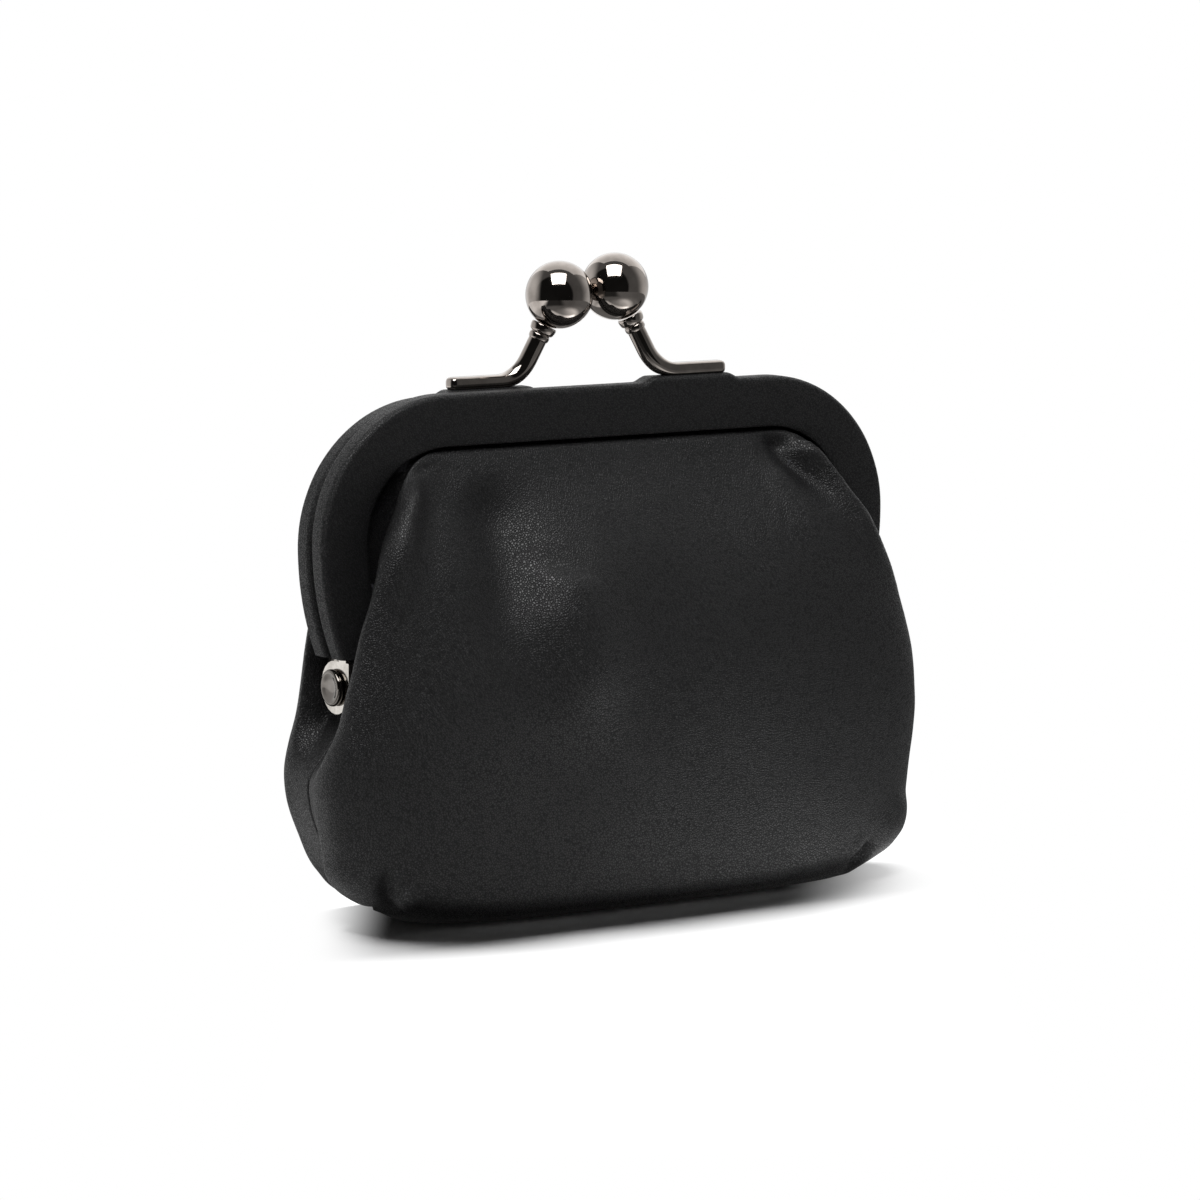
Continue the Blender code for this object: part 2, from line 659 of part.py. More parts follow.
def tuck_strip(rows, top):
    """Points that carry the edge of an upper panel into the channel."""
    centre_height = corner_centre_height(top)
    centre_x = HALF_WIDTH - CORNER_RADIUS
    chain = [row[0] for row in rows[:-1]] + rows[-1] + [row[-1] for row in reversed(rows[:-1])]
    strip = []
    for x, y, z in chain:
        way = Vector((x, 0.0, 0.0))
        if z > centre_height:
            way = Vector((math.copysign(max(abs(x) - centre_x, 0.0), x), 0.0, z - centre_height))
        way.normalize()
        strip.append(Vector((x, y, z)) + way * TUCK_DEPTH)
    return strip


def open_surface(rows, strip):
    """Open surface through rows of points, and its corners that lie in the channel."""
    shape = bmesh.new()
    grid = [[shape.verts.new(point) for point in row] for row in rows]
    for near, far in zip(grid, grid[1:]):
        for index in range(len(near) - 1):
            shape.faces.new((near[index], near[index + 1], far[index + 1], far[index]))
    tucked = set()
    if strip:
        edge = [row[0] for row in grid[:-1]] + grid[-1] + [row[-1] for row in reversed(grid[:-1])]
        outer = [shape.verts.new(point) for point in strip]
        for index in range(len(edge) - 1):
            shape.faces.new((edge[index], edge[index + 1], outer[index + 1], outer[index]))
        tucked = set(edge + outer)
    bmesh.ops.triangulate(shape, faces=shape.faces, quad_method="FIXED")
    bmesh.ops.recalc_face_normals(shape, faces=shape.faces)
    shape.normal_update()
    return shape, tucked


def shell_mesh(name, rows, strip, offset, thickness):
    """Closed shell under a surface of rows, thinned to fit where it is tucked into the channel."""
    shape, tucked = open_surface(rows, strip)
    face = max(shape.faces, key=lambda one: abs(one.calc_center_median().y))
    outward = math.copysign(1.0, face.calc_center_median().y * face.normal.y)
    solid = bmesh.new()
    skins = []
    for level in (offset, offset + thickness):
        skin = {}
        for vertex in shape.verts:
            scale = SKIVED_THICKNESS / LEATHER_THICKNESS if vertex in tucked else 1.0
            skin[vertex] = solid.verts.new(vertex.co - vertex.normal * (outward * level * scale))
        skins.append(skin)
    for face in shape.faces:
        solid.faces.new([skins[0][vertex] for vertex in face.verts])
        solid.faces.new([skins[1][vertex] for vertex in reversed(face.verts)])
    for rim in [edge for edge in shape.edges if len(edge.link_faces) == 1]:
        first, second = rim.verts
        solid.faces.new((skins[0][first], skins[0][second], skins[1][second], skins[1][first]))
    shape.free()
    return mesh_from_bmesh(name, solid)


def pouch_half(half, top, body, upper, parent, finishes):
    """Outer leather and lining of one half, each split at the hinge."""
    layers = (
        ("panel", "leather", 0.0, LEATHER_THICKNESS),
        ("lining", "lining", LEATHER_THICKNESS + LINING_GAP, LINING_THICKNESS),
    )
    strip = tuck_strip(upper, top)
    for word, finish, offset, thickness in layers:
        name = half + "_body_" + word
        add_object(name, shell_mesh(name, body, None, offset, thickness), finishes[finish])
        name = half + "_upper_" + word
        add_object(name, shell_mesh(name, upper, strip, offset, thickness), finishes[finish], parent)


def hinge_empty(name):
    """Empty on the hinge axis that carries one frame half."""
    empty = bpy.data.objects.new(name, None)
    bpy.context.scene.collection.objects.link(empty)
    empty.location = (0.0, 0.0, HINGE_HEIGHT)
    return empty


def centre_on_footprint():
    """Moves the pieces from the parting plane to the middle of the purse's depth."""
    for thing in bpy.data.objects:
        if thing.parent is None:
            thing.location.y += (FRONT_DEPTH - BACK_DEPTH) / 2


def clear_scene():
    """Removes what the scene holds."""
    for thing in list(bpy.data.objects):
        bpy.data.objects.remove(thing, do_unlink=True)


def build():
    """The whole purse, closed and standing."""
    clear_scene()
    finishes = {
        "leather": material("black_leather", (0.012, 0.012, 0.013), 0.55),
        "lining": material("black_lining", (0.02, 0.02, 0.022), 0.85),
        "channel": material("dark_steel", (0.12, 0.115, 0.11), 0.3, 1.0),
        "clasp": material("black_nickel", (0.17, 0.16, 0.155), 0.12, 1.0),
        "twine": material("paper_twine", (0.42, 0.33, 0.22), 0.9),
    }
    front = hinge_empty("front_hinge_axis")
    back = hinge_empty("back_hinge_axis")
    back_top = FRAME_TOP - BACK_TOP_DROP
    frame_half("front", -1, FRAME_TOP, front_ear_x(), front, finishes)
    frame_half("back", 1, back_top, back_ear_x(), back, finishes)
    for word, mirror in (("left", -1), ("right", 1)):
        rivet(word, mirror, finishes["clasp"])
    clasp_half("front", -1, FRAME_TOP, front, finishes["clasp"])
    clasp_half("back", 1, back_top, back, finishes["clasp"])
    body = body_rows(-1, FRONT_DEPTH, FRONT_BODY_SHARES)
    upper = upper_rows(-1, FRONT_DEPTH, FRONT_UPPER_SHARES, FRONT_OVERHANG, FRAME_TOP)
    pouch_half("front", FRAME_TOP, body, upper, front, finishes)
    body = body_rows(1, BACK_DEPTH, BACK_BODY_SHARES)
    upper = upper_rows(1, BACK_DEPTH, BACK_UPPER_SHARES, BACK_OVERHANG, back_top)
    pouch_half("back", back_top, body, upper, back, finishes)
    centre_on_footprint()


build()
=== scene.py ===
# %% [markdown]
# # A leather purse with a ball clasp
# The purse is a soft leather pouch, wedged into two metal frame halves that are covered with the
# same leather, hinge at the sides and close with two balls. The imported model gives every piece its
# place. Here each piece gets its real form and finish around it.

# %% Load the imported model
import json
import math

import bmesh
import bpy
import numpy as np
from mathutils import Matrix, Vector, noise

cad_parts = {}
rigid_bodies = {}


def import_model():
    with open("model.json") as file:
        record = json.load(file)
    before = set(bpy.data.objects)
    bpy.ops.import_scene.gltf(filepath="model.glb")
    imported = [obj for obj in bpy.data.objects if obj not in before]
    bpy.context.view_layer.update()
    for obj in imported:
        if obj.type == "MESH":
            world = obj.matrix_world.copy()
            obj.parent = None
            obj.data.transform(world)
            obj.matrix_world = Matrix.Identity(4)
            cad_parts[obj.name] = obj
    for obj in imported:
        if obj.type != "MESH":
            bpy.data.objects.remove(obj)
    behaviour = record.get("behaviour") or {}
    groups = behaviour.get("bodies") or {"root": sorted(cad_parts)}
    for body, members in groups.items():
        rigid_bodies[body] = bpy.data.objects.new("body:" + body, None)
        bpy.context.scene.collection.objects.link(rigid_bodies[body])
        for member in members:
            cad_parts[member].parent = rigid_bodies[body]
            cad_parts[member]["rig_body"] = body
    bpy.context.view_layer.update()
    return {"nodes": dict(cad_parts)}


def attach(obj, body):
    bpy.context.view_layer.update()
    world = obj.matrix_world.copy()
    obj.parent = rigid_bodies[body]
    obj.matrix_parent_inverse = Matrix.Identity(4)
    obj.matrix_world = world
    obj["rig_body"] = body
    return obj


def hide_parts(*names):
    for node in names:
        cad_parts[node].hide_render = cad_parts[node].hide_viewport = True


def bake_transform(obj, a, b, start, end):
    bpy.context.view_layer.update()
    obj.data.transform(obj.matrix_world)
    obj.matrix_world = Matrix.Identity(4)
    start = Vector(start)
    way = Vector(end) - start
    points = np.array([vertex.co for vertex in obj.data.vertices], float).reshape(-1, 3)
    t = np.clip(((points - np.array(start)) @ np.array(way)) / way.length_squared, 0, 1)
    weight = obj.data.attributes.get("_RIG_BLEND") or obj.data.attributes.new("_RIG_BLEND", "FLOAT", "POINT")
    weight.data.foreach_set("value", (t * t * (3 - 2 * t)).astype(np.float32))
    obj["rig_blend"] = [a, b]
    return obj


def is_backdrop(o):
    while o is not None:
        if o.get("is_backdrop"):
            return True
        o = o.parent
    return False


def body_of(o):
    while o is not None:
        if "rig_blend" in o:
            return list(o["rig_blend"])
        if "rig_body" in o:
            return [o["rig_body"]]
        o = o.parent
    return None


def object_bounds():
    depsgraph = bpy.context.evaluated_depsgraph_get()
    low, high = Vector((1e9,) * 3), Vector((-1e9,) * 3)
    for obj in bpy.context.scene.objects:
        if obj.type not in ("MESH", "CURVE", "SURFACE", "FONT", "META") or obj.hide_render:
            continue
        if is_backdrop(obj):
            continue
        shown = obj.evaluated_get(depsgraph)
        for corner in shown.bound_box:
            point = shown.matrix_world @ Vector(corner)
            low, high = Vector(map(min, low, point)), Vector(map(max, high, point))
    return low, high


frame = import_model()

# %% [markdown]
# ## Camera
# A camera far away with a long lens draws a small object without stretching its near corner, as
# product photographs do. Its place is worked out from a turn, a height angle and a distance round
# the point that it aims at, so that the angles can be read and changed one by one.

# %% Place the camera
MM = 0.001
PARTING_Y = 2.45        # the plane where the two halves meet, in mm
CAMERA_TURN, CAMERA_RISE = math.radians(-33.0), math.radians(7.5)
CAMERA_DISTANCE = 775.0
LENS, SENSOR = 156.0, 36.0
AIM = Vector((0.0, PARTING_Y, 37.5))
AIM_RIGHT, AIM_UP = 0.3, 5.96        # how far the middle of the picture lies from the aim

back = Vector((
    math.sin(CAMERA_TURN) * math.cos(CAMERA_RISE),
    -math.cos(CAMERA_TURN) * math.cos(CAMERA_RISE),
    math.sin(CAMERA_RISE),
))
right = Vector((math.cos(CAMERA_TURN), math.sin(CAMERA_TURN), 0.0))
up = back.cross(right)
camera_data = bpy.data.cameras.new("camera")
camera_data.lens, camera_data.sensor_width = LENS, SENSOR
camera = bpy.data.objects.new("camera", camera_data)
bpy.context.scene.collection.objects.link(camera)
place = AIM + back * CAMERA_DISTANCE + right * AIM_RIGHT + up * AIM_UP
axes = Matrix((right, up, back)).transposed().to_4x4()
camera.matrix_world = Matrix.Translation(place * MM) @ axes
bpy.context.scene.camera = camera
bpy.context.scene.view_settings.view_transform = "Standard"
print("Camera at", [round(value) for value in place], "mm")

# %% [markdown]
# ## Floor and background
# The purse stands on a white card that runs on behind it as a white sweep, while the room in front
# is dark. Polished balls mirror all of it, so the world is white on one side and dark on the other.
# The camera sees plain white wherever the card ends, and away from the purse's shadow the card
# turns plain white for the camera too, and the two ends of that shadow are painted out white for it.
# Black leather shows its form by what it mirrors softly, so the card as mirrored is painted: a dim
# copy of the card with a painted pool of light before the purse, a painted bright strip close along
# its front, painted light behind it and to the right, and painted shade where it stands.

# %% Build the floor and the world
# In mirrors the card's colour is painted dimmer than to the camera, and its mirrored glow is painted light.
FLOOR_COLOUR, PAINTED_MIRRORED_FLOOR, PAINTED_MIRRORED_GLOW = 0.9, 0.15, 0.5
FLOOR_RADIUS, SHADOW_RADIUS = 0.34, 0.17
# Each ramp says from where to where a value changes, in metres, and from how much to how much.
# Along these ramps the ends of the purse's shadow are painted out white for the camera.
PAINTED_OUT_SHADOW_LEFT, PAINTED_OUT_SHADOW_RIGHT = (-0.043, -0.031, 1.0, 0.0), (0.026, 0.055, 0.0, 1.0)
# Painted light and shade on the card as mirrored: brighter to the right, a pool before the purse, a strip
# along its front, more behind it, and painted shade where the purse stands.
PAINTED_LIGHT_TO_THE_RIGHT = (0.0, 0.08, 0.4, 2.2)
PAINTED_POOL_MIDDLE, PAINTED_POOL = (0.009, -0.0415, 0.0), (0.038, 0.088, 0.85, 0.08)
PAINTED_STRIP, PAINTED_STRIP_END = (-0.045, -0.026, 0.0, 4.0), (0.035, 0.06, 1.0, 0.0)
PAINTED_STRIP_REACH = (0.07, 0.1, 1.0, 0.0)
PAINTED_SHADE, PAINTED_SHADE_END = (-0.0205, -0.0165, 1.0, 0.05), (0.04, 0.052, 0.0, 1.0)
BEHIND, PAINTED_LIGHT_BEHIND = (-0.5, 0.86, 0.0), (0.05, 0.12, 0.0, 3.0)
# The world's ramps run on the share of a direction instead.
ROOM_LIGHT, SWEEP_LIGHT = 0.012, 0.12
SWEEP_SIDE = (0.8, 0.6, 0.0)        # the way from the purse to the middle of the white sweep
SWEEP_EDGE = (-0.42, -0.3, ROOM_LIGHT, SWEEP_LIGHT)
SWEEP_MIDDLE, SWEEP_BEHIND = (0.2, 0.9, 0.0, 0.58), (0.6, 0.95, 0.0, 0.7)
FILL_LIGHT = 0.006                  # what dull surfaces get from the room


def new_material(name):
    """Node material, its tree and its Principled shader."""
    made = bpy.data.materials.new(name)
    made.use_nodes = True
    return made, made.node_tree, made.node_tree.nodes["Principled BSDF"]


def feed(tree, socket, value):
    """Gives an input a link from another node, or a value of its own."""
    if isinstance(value, bpy.types.NodeSocket):
        tree.links.new(value, socket)
    else:
        socket.default_value = value


def add_node(tree, kind, **values):
    """New shader node of a kind, with its inputs fed by name."""
    node = tree.nodes.new("ShaderNode" + kind)
    for name, value in values.items():
        feed(tree, node.inputs[name.replace("_", " ")], value)
    return node


def map_range(tree, value, low, high, to_low=0.0, to_high=1.0, kind="SMOOTHSTEP"):
    """Value moved from one range to another, eased at both ends."""
    ends = {"From_Min": low, "From_Max": high, "To_Min": to_low, "To_Max": to_high}
    node = add_node(tree, "MapRange", Value=value, **ends)
    node.interpolation_type = kind
    return node.outputs["Result"]


def object_coords(tree):
    """Places on the object itself, in metres."""
    return add_node(tree, "TexCoord").outputs["Object"]


def operated(tree, kind, operation, values):
    """Node that does an operation on values, which are sockets, numbers or tuples."""
    node = add_node(tree, kind)
    node.operation = operation
    for socket, value in zip(node.inputs, values):
        feed(tree, socket, value)
    return node


def math_node(tree, operation, *values):
    """Output of a Math node."""
    return operated(tree, "Math", operation, values).outputs[0]


def joined(tree, operation, *values):
    """Values joined one after the other by the same operation."""
    total = values[0]
    for value in values[1:]:
        total = math_node(tree, operation, total, value)
    return total


def vector_node(tree, operation, *values):
    """Output of a Vector Math node: a value for a measure, or else a vector."""
    node = operated(tree, "VectorMath", operation, values)
    return node.outputs["Value" if operation in ("LENGTH", "DISTANCE", "DOT_PRODUCT") else "Vector"]


def ramp_along(tree, coords, way, ramp):
    """Value that changes by a ramp along a way."""
    return map_range(tree, vector_node(tree, "DOT_PRODUCT", coords, way), *ramp)


floor_finish, tree, shader = new_material("floor_card")
shader.inputs["Roughness"].default_value = 0.9
shader.inputs["Specular IOR Level"].default_value = 0.1
coords = object_coords(tree)
light_path = add_node(tree, "LightPath")
seen, mirrored = light_path.outputs["Is Camera Ray"], light_path.outputs["Is Glossy Ray"]
colour = map_range(tree, mirrored, 0.0, 1.0, FLOOR_COLOUR, PAINTED_MIRRORED_FLOOR)
feed(tree, shader.inputs["Base Color"], colour)

# where the card glows instead of being lit by the lamps: far away, at the two ends of the shadow,
# which are painted out white for the camera, and as a painted glow in mirrors
reach = vector_node(tree, "LENGTH", coords)
far = map_range(tree, reach, SHADOW_RADIUS / 2, SHADOW_RADIUS)
far = math_node(tree, "MULTIPLY", far, math_node(tree, "MAXIMUM", seen, mirrored))
ends = (ramp_along(tree, coords, right, ramp) for ramp in (PAINTED_OUT_SHADOW_LEFT, PAINTED_OUT_SHADOW_RIGHT))
ends = math_node(tree, "MULTIPLY", math_node(tree, "MAXIMUM", *ends), seen)
glowing = joined(tree, "MAXIMUM", far, ends, math_node(tree, "MULTIPLY", mirrored, PAINTED_MIRRORED_GLOW))

# how strong that glow is: plain white to the camera; in mirrors painted light, a pool, a strip, more
# behind and to the right, with painted shade where the purse stands
across, depth = (vector_node(tree, "DOT_PRODUCT", coords, way) for way in ((1, 0, 0), (0, 1, 0)))
painted_light = map_range(tree, vector_node(tree, "DISTANCE", coords, PAINTED_POOL_MIDDLE), *PAINTED_POOL)
painted_strip = joined(
    tree, "MULTIPLY", map_range(tree, across, *PAINTED_STRIP_END), map_range(tree, reach, *PAINTED_STRIP_REACH),
    map_range(tree, depth, *PAINTED_STRIP),
)
painted_shade = math_node(
    tree, "MAXIMUM", map_range(tree, depth, *PAINTED_SHADE),
    map_range(tree, math_node(tree, "ABSOLUTE", across), *PAINTED_SHADE_END),
)
painted_light = joined(tree, "ADD", painted_light, painted_strip, ramp_along(tree, coords, BEHIND, PAINTED_LIGHT_BEHIND))
painted_aside = ramp_along(tree, coords, right, PAINTED_LIGHT_TO_THE_RIGHT)
strength = joined(tree, "MULTIPLY", painted_light, painted_shade, painted_aside, mirrored)
glow = add_node(tree, "Emission", Strength=math_node(tree, "MAXIMUM", strength, seen))
blend = add_node(tree, "MixShader")
for socket, source in zip(blend.inputs, (glowing, shader.outputs["BSDF"], glow.outputs[0])):
    feed(tree, socket, source)
feed(tree, tree.nodes["Material Output"].inputs["Surface"], blend.outputs[0])
bpy.ops.mesh.primitive_circle_add(vertices=96, radius=FLOOR_RADIUS, fill_type="NGON")
floor = bpy.context.object
floor.name = "floor"
floor.data.materials.append(floor_finish)
floor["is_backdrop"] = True

world = bpy.data.worlds.new("studio")
bpy.context.scene.world = world
world.use_nodes = True
tree = world.node_tree
way = add_node(tree, "TexCoord").outputs["Generated"]
light_path = add_node(tree, "LightPath")
studio = joined(
    tree, "ADD", ramp_along(tree, way, SWEEP_SIDE, SWEEP_MIDDLE),
    ramp_along(tree, way, BEHIND, SWEEP_BEHIND), ramp_along(tree, way, SWEEP_SIDE, SWEEP_EDGE),
)
strength = joined(
    tree, "MAXIMUM", math_node(tree, "MULTIPLY", studio, light_path.outputs["Is Glossy Ray"]),
    light_path.outputs["Is Camera Ray"],
    math_node(tree, "MULTIPLY", light_path.outputs["Is Diffuse Ray"], FILL_LIGHT),
)
feed(tree, tree.nodes["Background"].inputs["Strength"], strength)
tree.nodes["Background"].inputs["Color"].default_value = (1.0, 1.0, 1.0, 1.0)
print("Floor", floor.name, "and world", world.name)

# %% [markdown]
# ## Lights
# Two large square soft boxes light the purse. The first hangs high in front, over the camera: it is
# the bright square in the balls and the soft shine on the leather. The second hangs high behind.
# Dark leather shows its form almost only by what it mirrors softly, so the size and the place of a
# lamp matter more than its strength. The card has a smaller lamp of its own, from above and behind,
# so that it stays white while the purse throws one clear shadow forwards.

# %% Hang the soft boxes
ALONG_PURSE = Vector((1.0, 0.0, 0.0))
SOFT_BOXES = (
    # name, way from the purse (right, up, towards the camera), distance, width and height in mm,
    # the line that its width follows, watts, what it lights
    ("front_box", (-0.03, 0.83, 0.56), 1050.0, (800.0, 800.0), right, 11.5, "purse"),
    ("rear_box", (0.1, 0.80, -0.6), 1300.0, (1800.0, 1800.0), right, 7.0, "purse"),
    ("card_box", (-0.03, 0.93, -0.27), 1000.0, (1000.0, 260.0), ALONG_PURSE, 29.0, "card"),
)
for name, (to_right, to_top, to_camera), distance, sides, along, watts, target in SOFT_BOXES:
    lamp_data = bpy.data.lights.new(name, "AREA")
    lamp_data.shape = "RECTANGLE"
    lamp_data.size, lamp_data.size_y = (side * MM for side in sides)
    lamp_data.energy = watts
    lamp = bpy.data.objects.new(name, lamp_data)
    bpy.context.scene.collection.objects.link(lamp)
    towards = (right * to_right + up * to_top + back * to_camera).normalized()
    width = (along - towards * along.dot(towards)).normalized()
    turn = Matrix((width, towards.cross(width), towards)).transposed().to_4x4()
    lamp.matrix_world = Matrix.Translation((AIM + towards * distance) * MM) @ turn
    lit = bpy.data.collections.new(name + "_lights")
    lit.objects.link(floor)
    lamp.light_linking.receiver_collection = lit
    if target == "purse":
        lit.collection_objects[0].light_linking.link_state = "EXCLUDE"
    print(name, "hangs", distance, "mm from the aim and lights the", target)

# %% [markdown]
# ## Effects shared by the finishes
# Fine-grained calf leather is covered with small flat pebbles a third of a millimetre wide, parted
# by hair creases. A Voronoi texture draws them: its distance to the nearest cell edge is a map of
# the creases. It is a node group, because the pouch and the frame cover both use it, each with its
# own values.

# %% Make the leather grain group


def new_group(name, inputs, outputs):
    """Empty shader node group with named float sockets, and its two end nodes."""
    group = bpy.data.node_groups.new(name, "ShaderNodeTree")
    for socket, value in inputs:
        made = group.interface.new_socket(socket, in_out="INPUT", socket_type="NodeSocketFloat")
        made.default_value = value
    for socket in outputs:
        group.interface.new_socket(socket, in_out="OUTPUT", socket_type="NodeSocketFloat")
    start = group.nodes.new("NodeGroupInput")
    end = group.nodes.new("NodeGroupOutput")
    return group, start, end


def noise_node(tree, scale, detail=2.0, roughness=0.5, vector=None):
    """Noise texture on the object's own coordinates, in turns per metre."""
    vector = vector or object_coords(tree)
    settings = {"Scale": scale, "Detail": detail, "Roughness": roughness, "Vector": vector}
    return add_node(tree, "TexNoise", **settings).outputs["Fac"]


def edge_distance(tree, scale, vector):
    """Distance to the nearest edge between Voronoi cells."""
    node = add_node(tree, "TexVoronoi", Scale=scale, Vector=vector)
    node.feature = "DISTANCE_TO_EDGE"
    return node.outputs["Distance"]


WARP_TURNS, WARP_REACH = 900.0, (0.00025, 0.00025, 0.00025)   # turns per metre, metres
FINE_TURNS, FINE_AMOUNT, SPECKLE_TURNS = 6500.0, 0.25, 3200.0
grain, start, end = new_group(
    "leather_grain",
    (("Pebbles per metre", 2600.0), ("Crease width", 0.28)),
    ("Height", "Crease", "Speckle"),
)
coords = object_coords(grain)
warp = noise_node(grain, WARP_TURNS, vector=coords).node.outputs["Color"]
warped = vector_node(grain, "MULTIPLY_ADD", warp, WARP_REACH, coords)
edge = edge_distance(grain, start.outputs["Pebbles per metre"], warped)
pebble = map_range(grain, edge, 0.0, start.outputs["Crease width"])
fine = noise_node(grain, FINE_TURNS, detail=1.0, vector=coords)
feed(grain, end.inputs["Height"], math_node(grain, "MULTIPLY_ADD", fine, FINE_AMOUNT, pebble))
feed(grain, end.inputs["Crease"], math_node(grain, "SUBTRACT", 1.0, pebble))
feed(grain, end.inputs["Speckle"], noise_node(grain, SPECKLE_TURNS, detail=1.0, vector=coords))
print("Group", grain.name, "with", len(grain.nodes), "nodes")

# %% [markdown]
# Dust and handling leave a soft uneven film on black leather and on metal. It is slow noise that
# lifts the colour a little and changes the roughness, so it is a second group.

# %% Make the handling film group
FILM_START, FILM_FULL = 0.35, 0.7       # noise values where the film starts and is full
film, start, end = new_group(
    "handling_film", (("Patches per metre", 60.0), ("Amount", 0.5)), ("Film",)
)
slow = noise_node(film, start.outputs["Patches per metre"], detail=4.0, roughness=0.6)
spread = map_range(film, slow, FILM_START, FILM_FULL)
feed(film, end.inputs["Film"], math_node(film, "MULTIPLY", spread, start.outputs["Amount"]))
print("Group", film.name, "with", len(film.nodes), "nodes")


def place_group(tree, group, **values):
    """Group node in a material, with its inputs set by name."""
    node = add_node(tree, "Group")
    node.node_tree = group
    for name, value in values.items():
        node.inputs[name.replace("_", " ")].default_value = value
    return node


def ramp_between(tree, mask, low, high):
    """Value that goes evenly from low to high as a mask goes from 0 to 1."""
    return map_range(tree, mask, 0.0, 1.0, low, high, "LINEAR")


def mix_colours(tree, mask, first, second):
    """Colour between two as a mask goes from 0 to 1."""
    node = add_node(tree, "Mix")
    node.data_type = "RGBA"
    for name, value in (("A", (*first, 1.0)), ("B", (*second, 1.0)), ("Factor", mask)):
        feed(tree, node.inputs[name], value)
    return node.outputs["Result"]


def bump(tree, shader, height, distance):
    """Bump node between a height and the shader's normal; distance in mm."""
    node = add_node(tree, "Bump", Distance=distance * MM, Height=height)
    tree.links.new(node.outputs["Normal"], shader.inputs["Normal"])


# %% [markdown]
# ## Black leather
# The leather is dyed through and left matt, with a soft shine on top of the pebbles. Its colour
# hardly changes; what changes is the gloss, so the grain and the film mostly drive the roughness.

# %% Make the leather finishes


CRUMPLE_CENTRE, CRUMPLE_RADIUS = (0.0285, 0.0, 0.0545), 0.008
CRUMPLE_FULL, CRUMPLE_TURNS, CRUMPLE_CREASE = 0.3, 1500.0, 0.22
CRUMPLE_STRETCH, FROM_THE_FRONT = (1.0, 0.7, 0.62), (1.0, 0.0, 1.0)
DARK_SPECK, LIGHT_SPECK = (0.002, 0.002, 0.0022), (0.008, 0.008, 0.0085)
CREASE_WEAR = 0.25                      # how much rougher the creases are
PEBBLE_SHINE, CREASE_SHINE = 1.1, 0.5   # shares of the shine


def crumple_height(tree):
    """Fine creases round the gathers: stretched cells, fading with the distance from a centre."""
    coords = object_coords(tree)
    flat = vector_node(tree, "MULTIPLY", coords, FROM_THE_FRONT)
    gap = vector_node(tree, "DISTANCE", flat, CRUMPLE_CENTRE)
    near = map_range(tree, gap, CRUMPLE_RADIUS, CRUMPLE_RADIUS * CRUMPLE_FULL)
    stretched = vector_node(tree, "MULTIPLY", coords, CRUMPLE_STRETCH)
    crease = map_range(tree, edge_distance(tree, CRUMPLE_TURNS, stretched), 0.0, CRUMPLE_CREASE)
    return math_node(tree, "MULTIPLY", crease, near)


def leather_finish(name, pebbles, bump_depth, roughness, shine, crumple=0.0):
    """Black leather: grain in the bump and gloss, film in the roughness."""
    made, tree, shader = new_material(name)
    skin = place_group(tree, grain, Pebbles_per_metre=pebbles, Crease_width=0.3)
    dust = place_group(tree, film, Patches_per_metre=70.0, Amount=0.6)
    colour = mix_colours(tree, skin.outputs["Speckle"], DARK_SPECK, LIGHT_SPECK)
    feed(tree, shader.inputs["Base Color"], colour)
    dusty = ramp_between(tree, dust.outputs["Film"], *roughness)
    worn = math_node(tree, "MULTIPLY_ADD", skin.outputs["Crease"], CREASE_WEAR, dusty)
    feed(tree, shader.inputs["Roughness"], worn)
    height = skin.outputs["Height"]
    if crumple:
        folds = math_node(tree, "MULTIPLY", crumple_height(tree), crumple)
        height = math_node(tree, "ADD", height, folds)
    bump(tree, shader, height, bump_depth)
    gloss = ramp_between(tree, skin.outputs["Crease"], shine * PEBBLE_SHINE, shine * CREASE_SHINE)
    feed(tree, shader.inputs["Specular IOR Level"], gloss)
    return made


PEBBLES = 2800.0                        # per metre
pouch_leather = leather_finish(
    "pouch_leather", PEBBLES, bump_depth=0.045, roughness=(0.34, 0.42), shine=0.56, crumple=0.3
)
cover_leather = leather_finish(
    "cover_leather", PEBBLES, bump_depth=0.04, roughness=(0.38, 0.48), shine=0.5
)
print("Leather finishes:", pouch_leather.name, cover_leather.name)

# %% [markdown]
# ## Black nickel, steel, lining and twine
# The clasp is polished metal under a thin dark plating, so it mirrors the studio in brown-grey.
# The hinge ears are plainer steel with fine brushing. The lining is a dull woven cloth, and the
# twine is twisted paper.

# %% Make the metal finishes


SCRATCH_TURNS, SCRATCH_DEPTH = 3000.0, 0.002


def metal_finish(name, dark, light, roughness, film_amount):
    """Plated metal with a faint uneven film and hair scratches."""
    made, tree, shader = new_material(name)
    shader.inputs["Metallic"].default_value = 1.0
    touch = place_group(tree, film, Patches_per_metre=260.0, Amount=film_amount)
    touched = touch.outputs["Film"]
    feed(tree, shader.inputs["Base Color"], mix_colours(tree, touched, light, dark))
    feed(tree, shader.inputs["Roughness"], ramp_between(tree, touched, *roughness))
    bump(tree, shader, noise_node(tree, SCRATCH_TURNS, detail=3.0), SCRATCH_DEPTH)
    return made


black_nickel, dark_steel, rivet_steel = (
    # name, dark and light colour, lowest and highest roughness, how much film
    metal_finish("black_nickel", (0.25, 0.22, 0.2), (0.45, 0.405, 0.37), (0.04, 0.1), 0.7),
    metal_finish("dark_steel", (0.3, 0.28, 0.25), (0.6, 0.57, 0.53), (0.1, 0.22), 0.7),
    metal_finish("rivet_steel", (0.1, 0.09, 0.08), (0.2, 0.185, 0.17), (0.06, 0.14), 0.6),
)
print("Metal finishes:", black_nickel.name, dark_steel.name, rivet_steel.name)

# %% Make the cloth and paper finishes


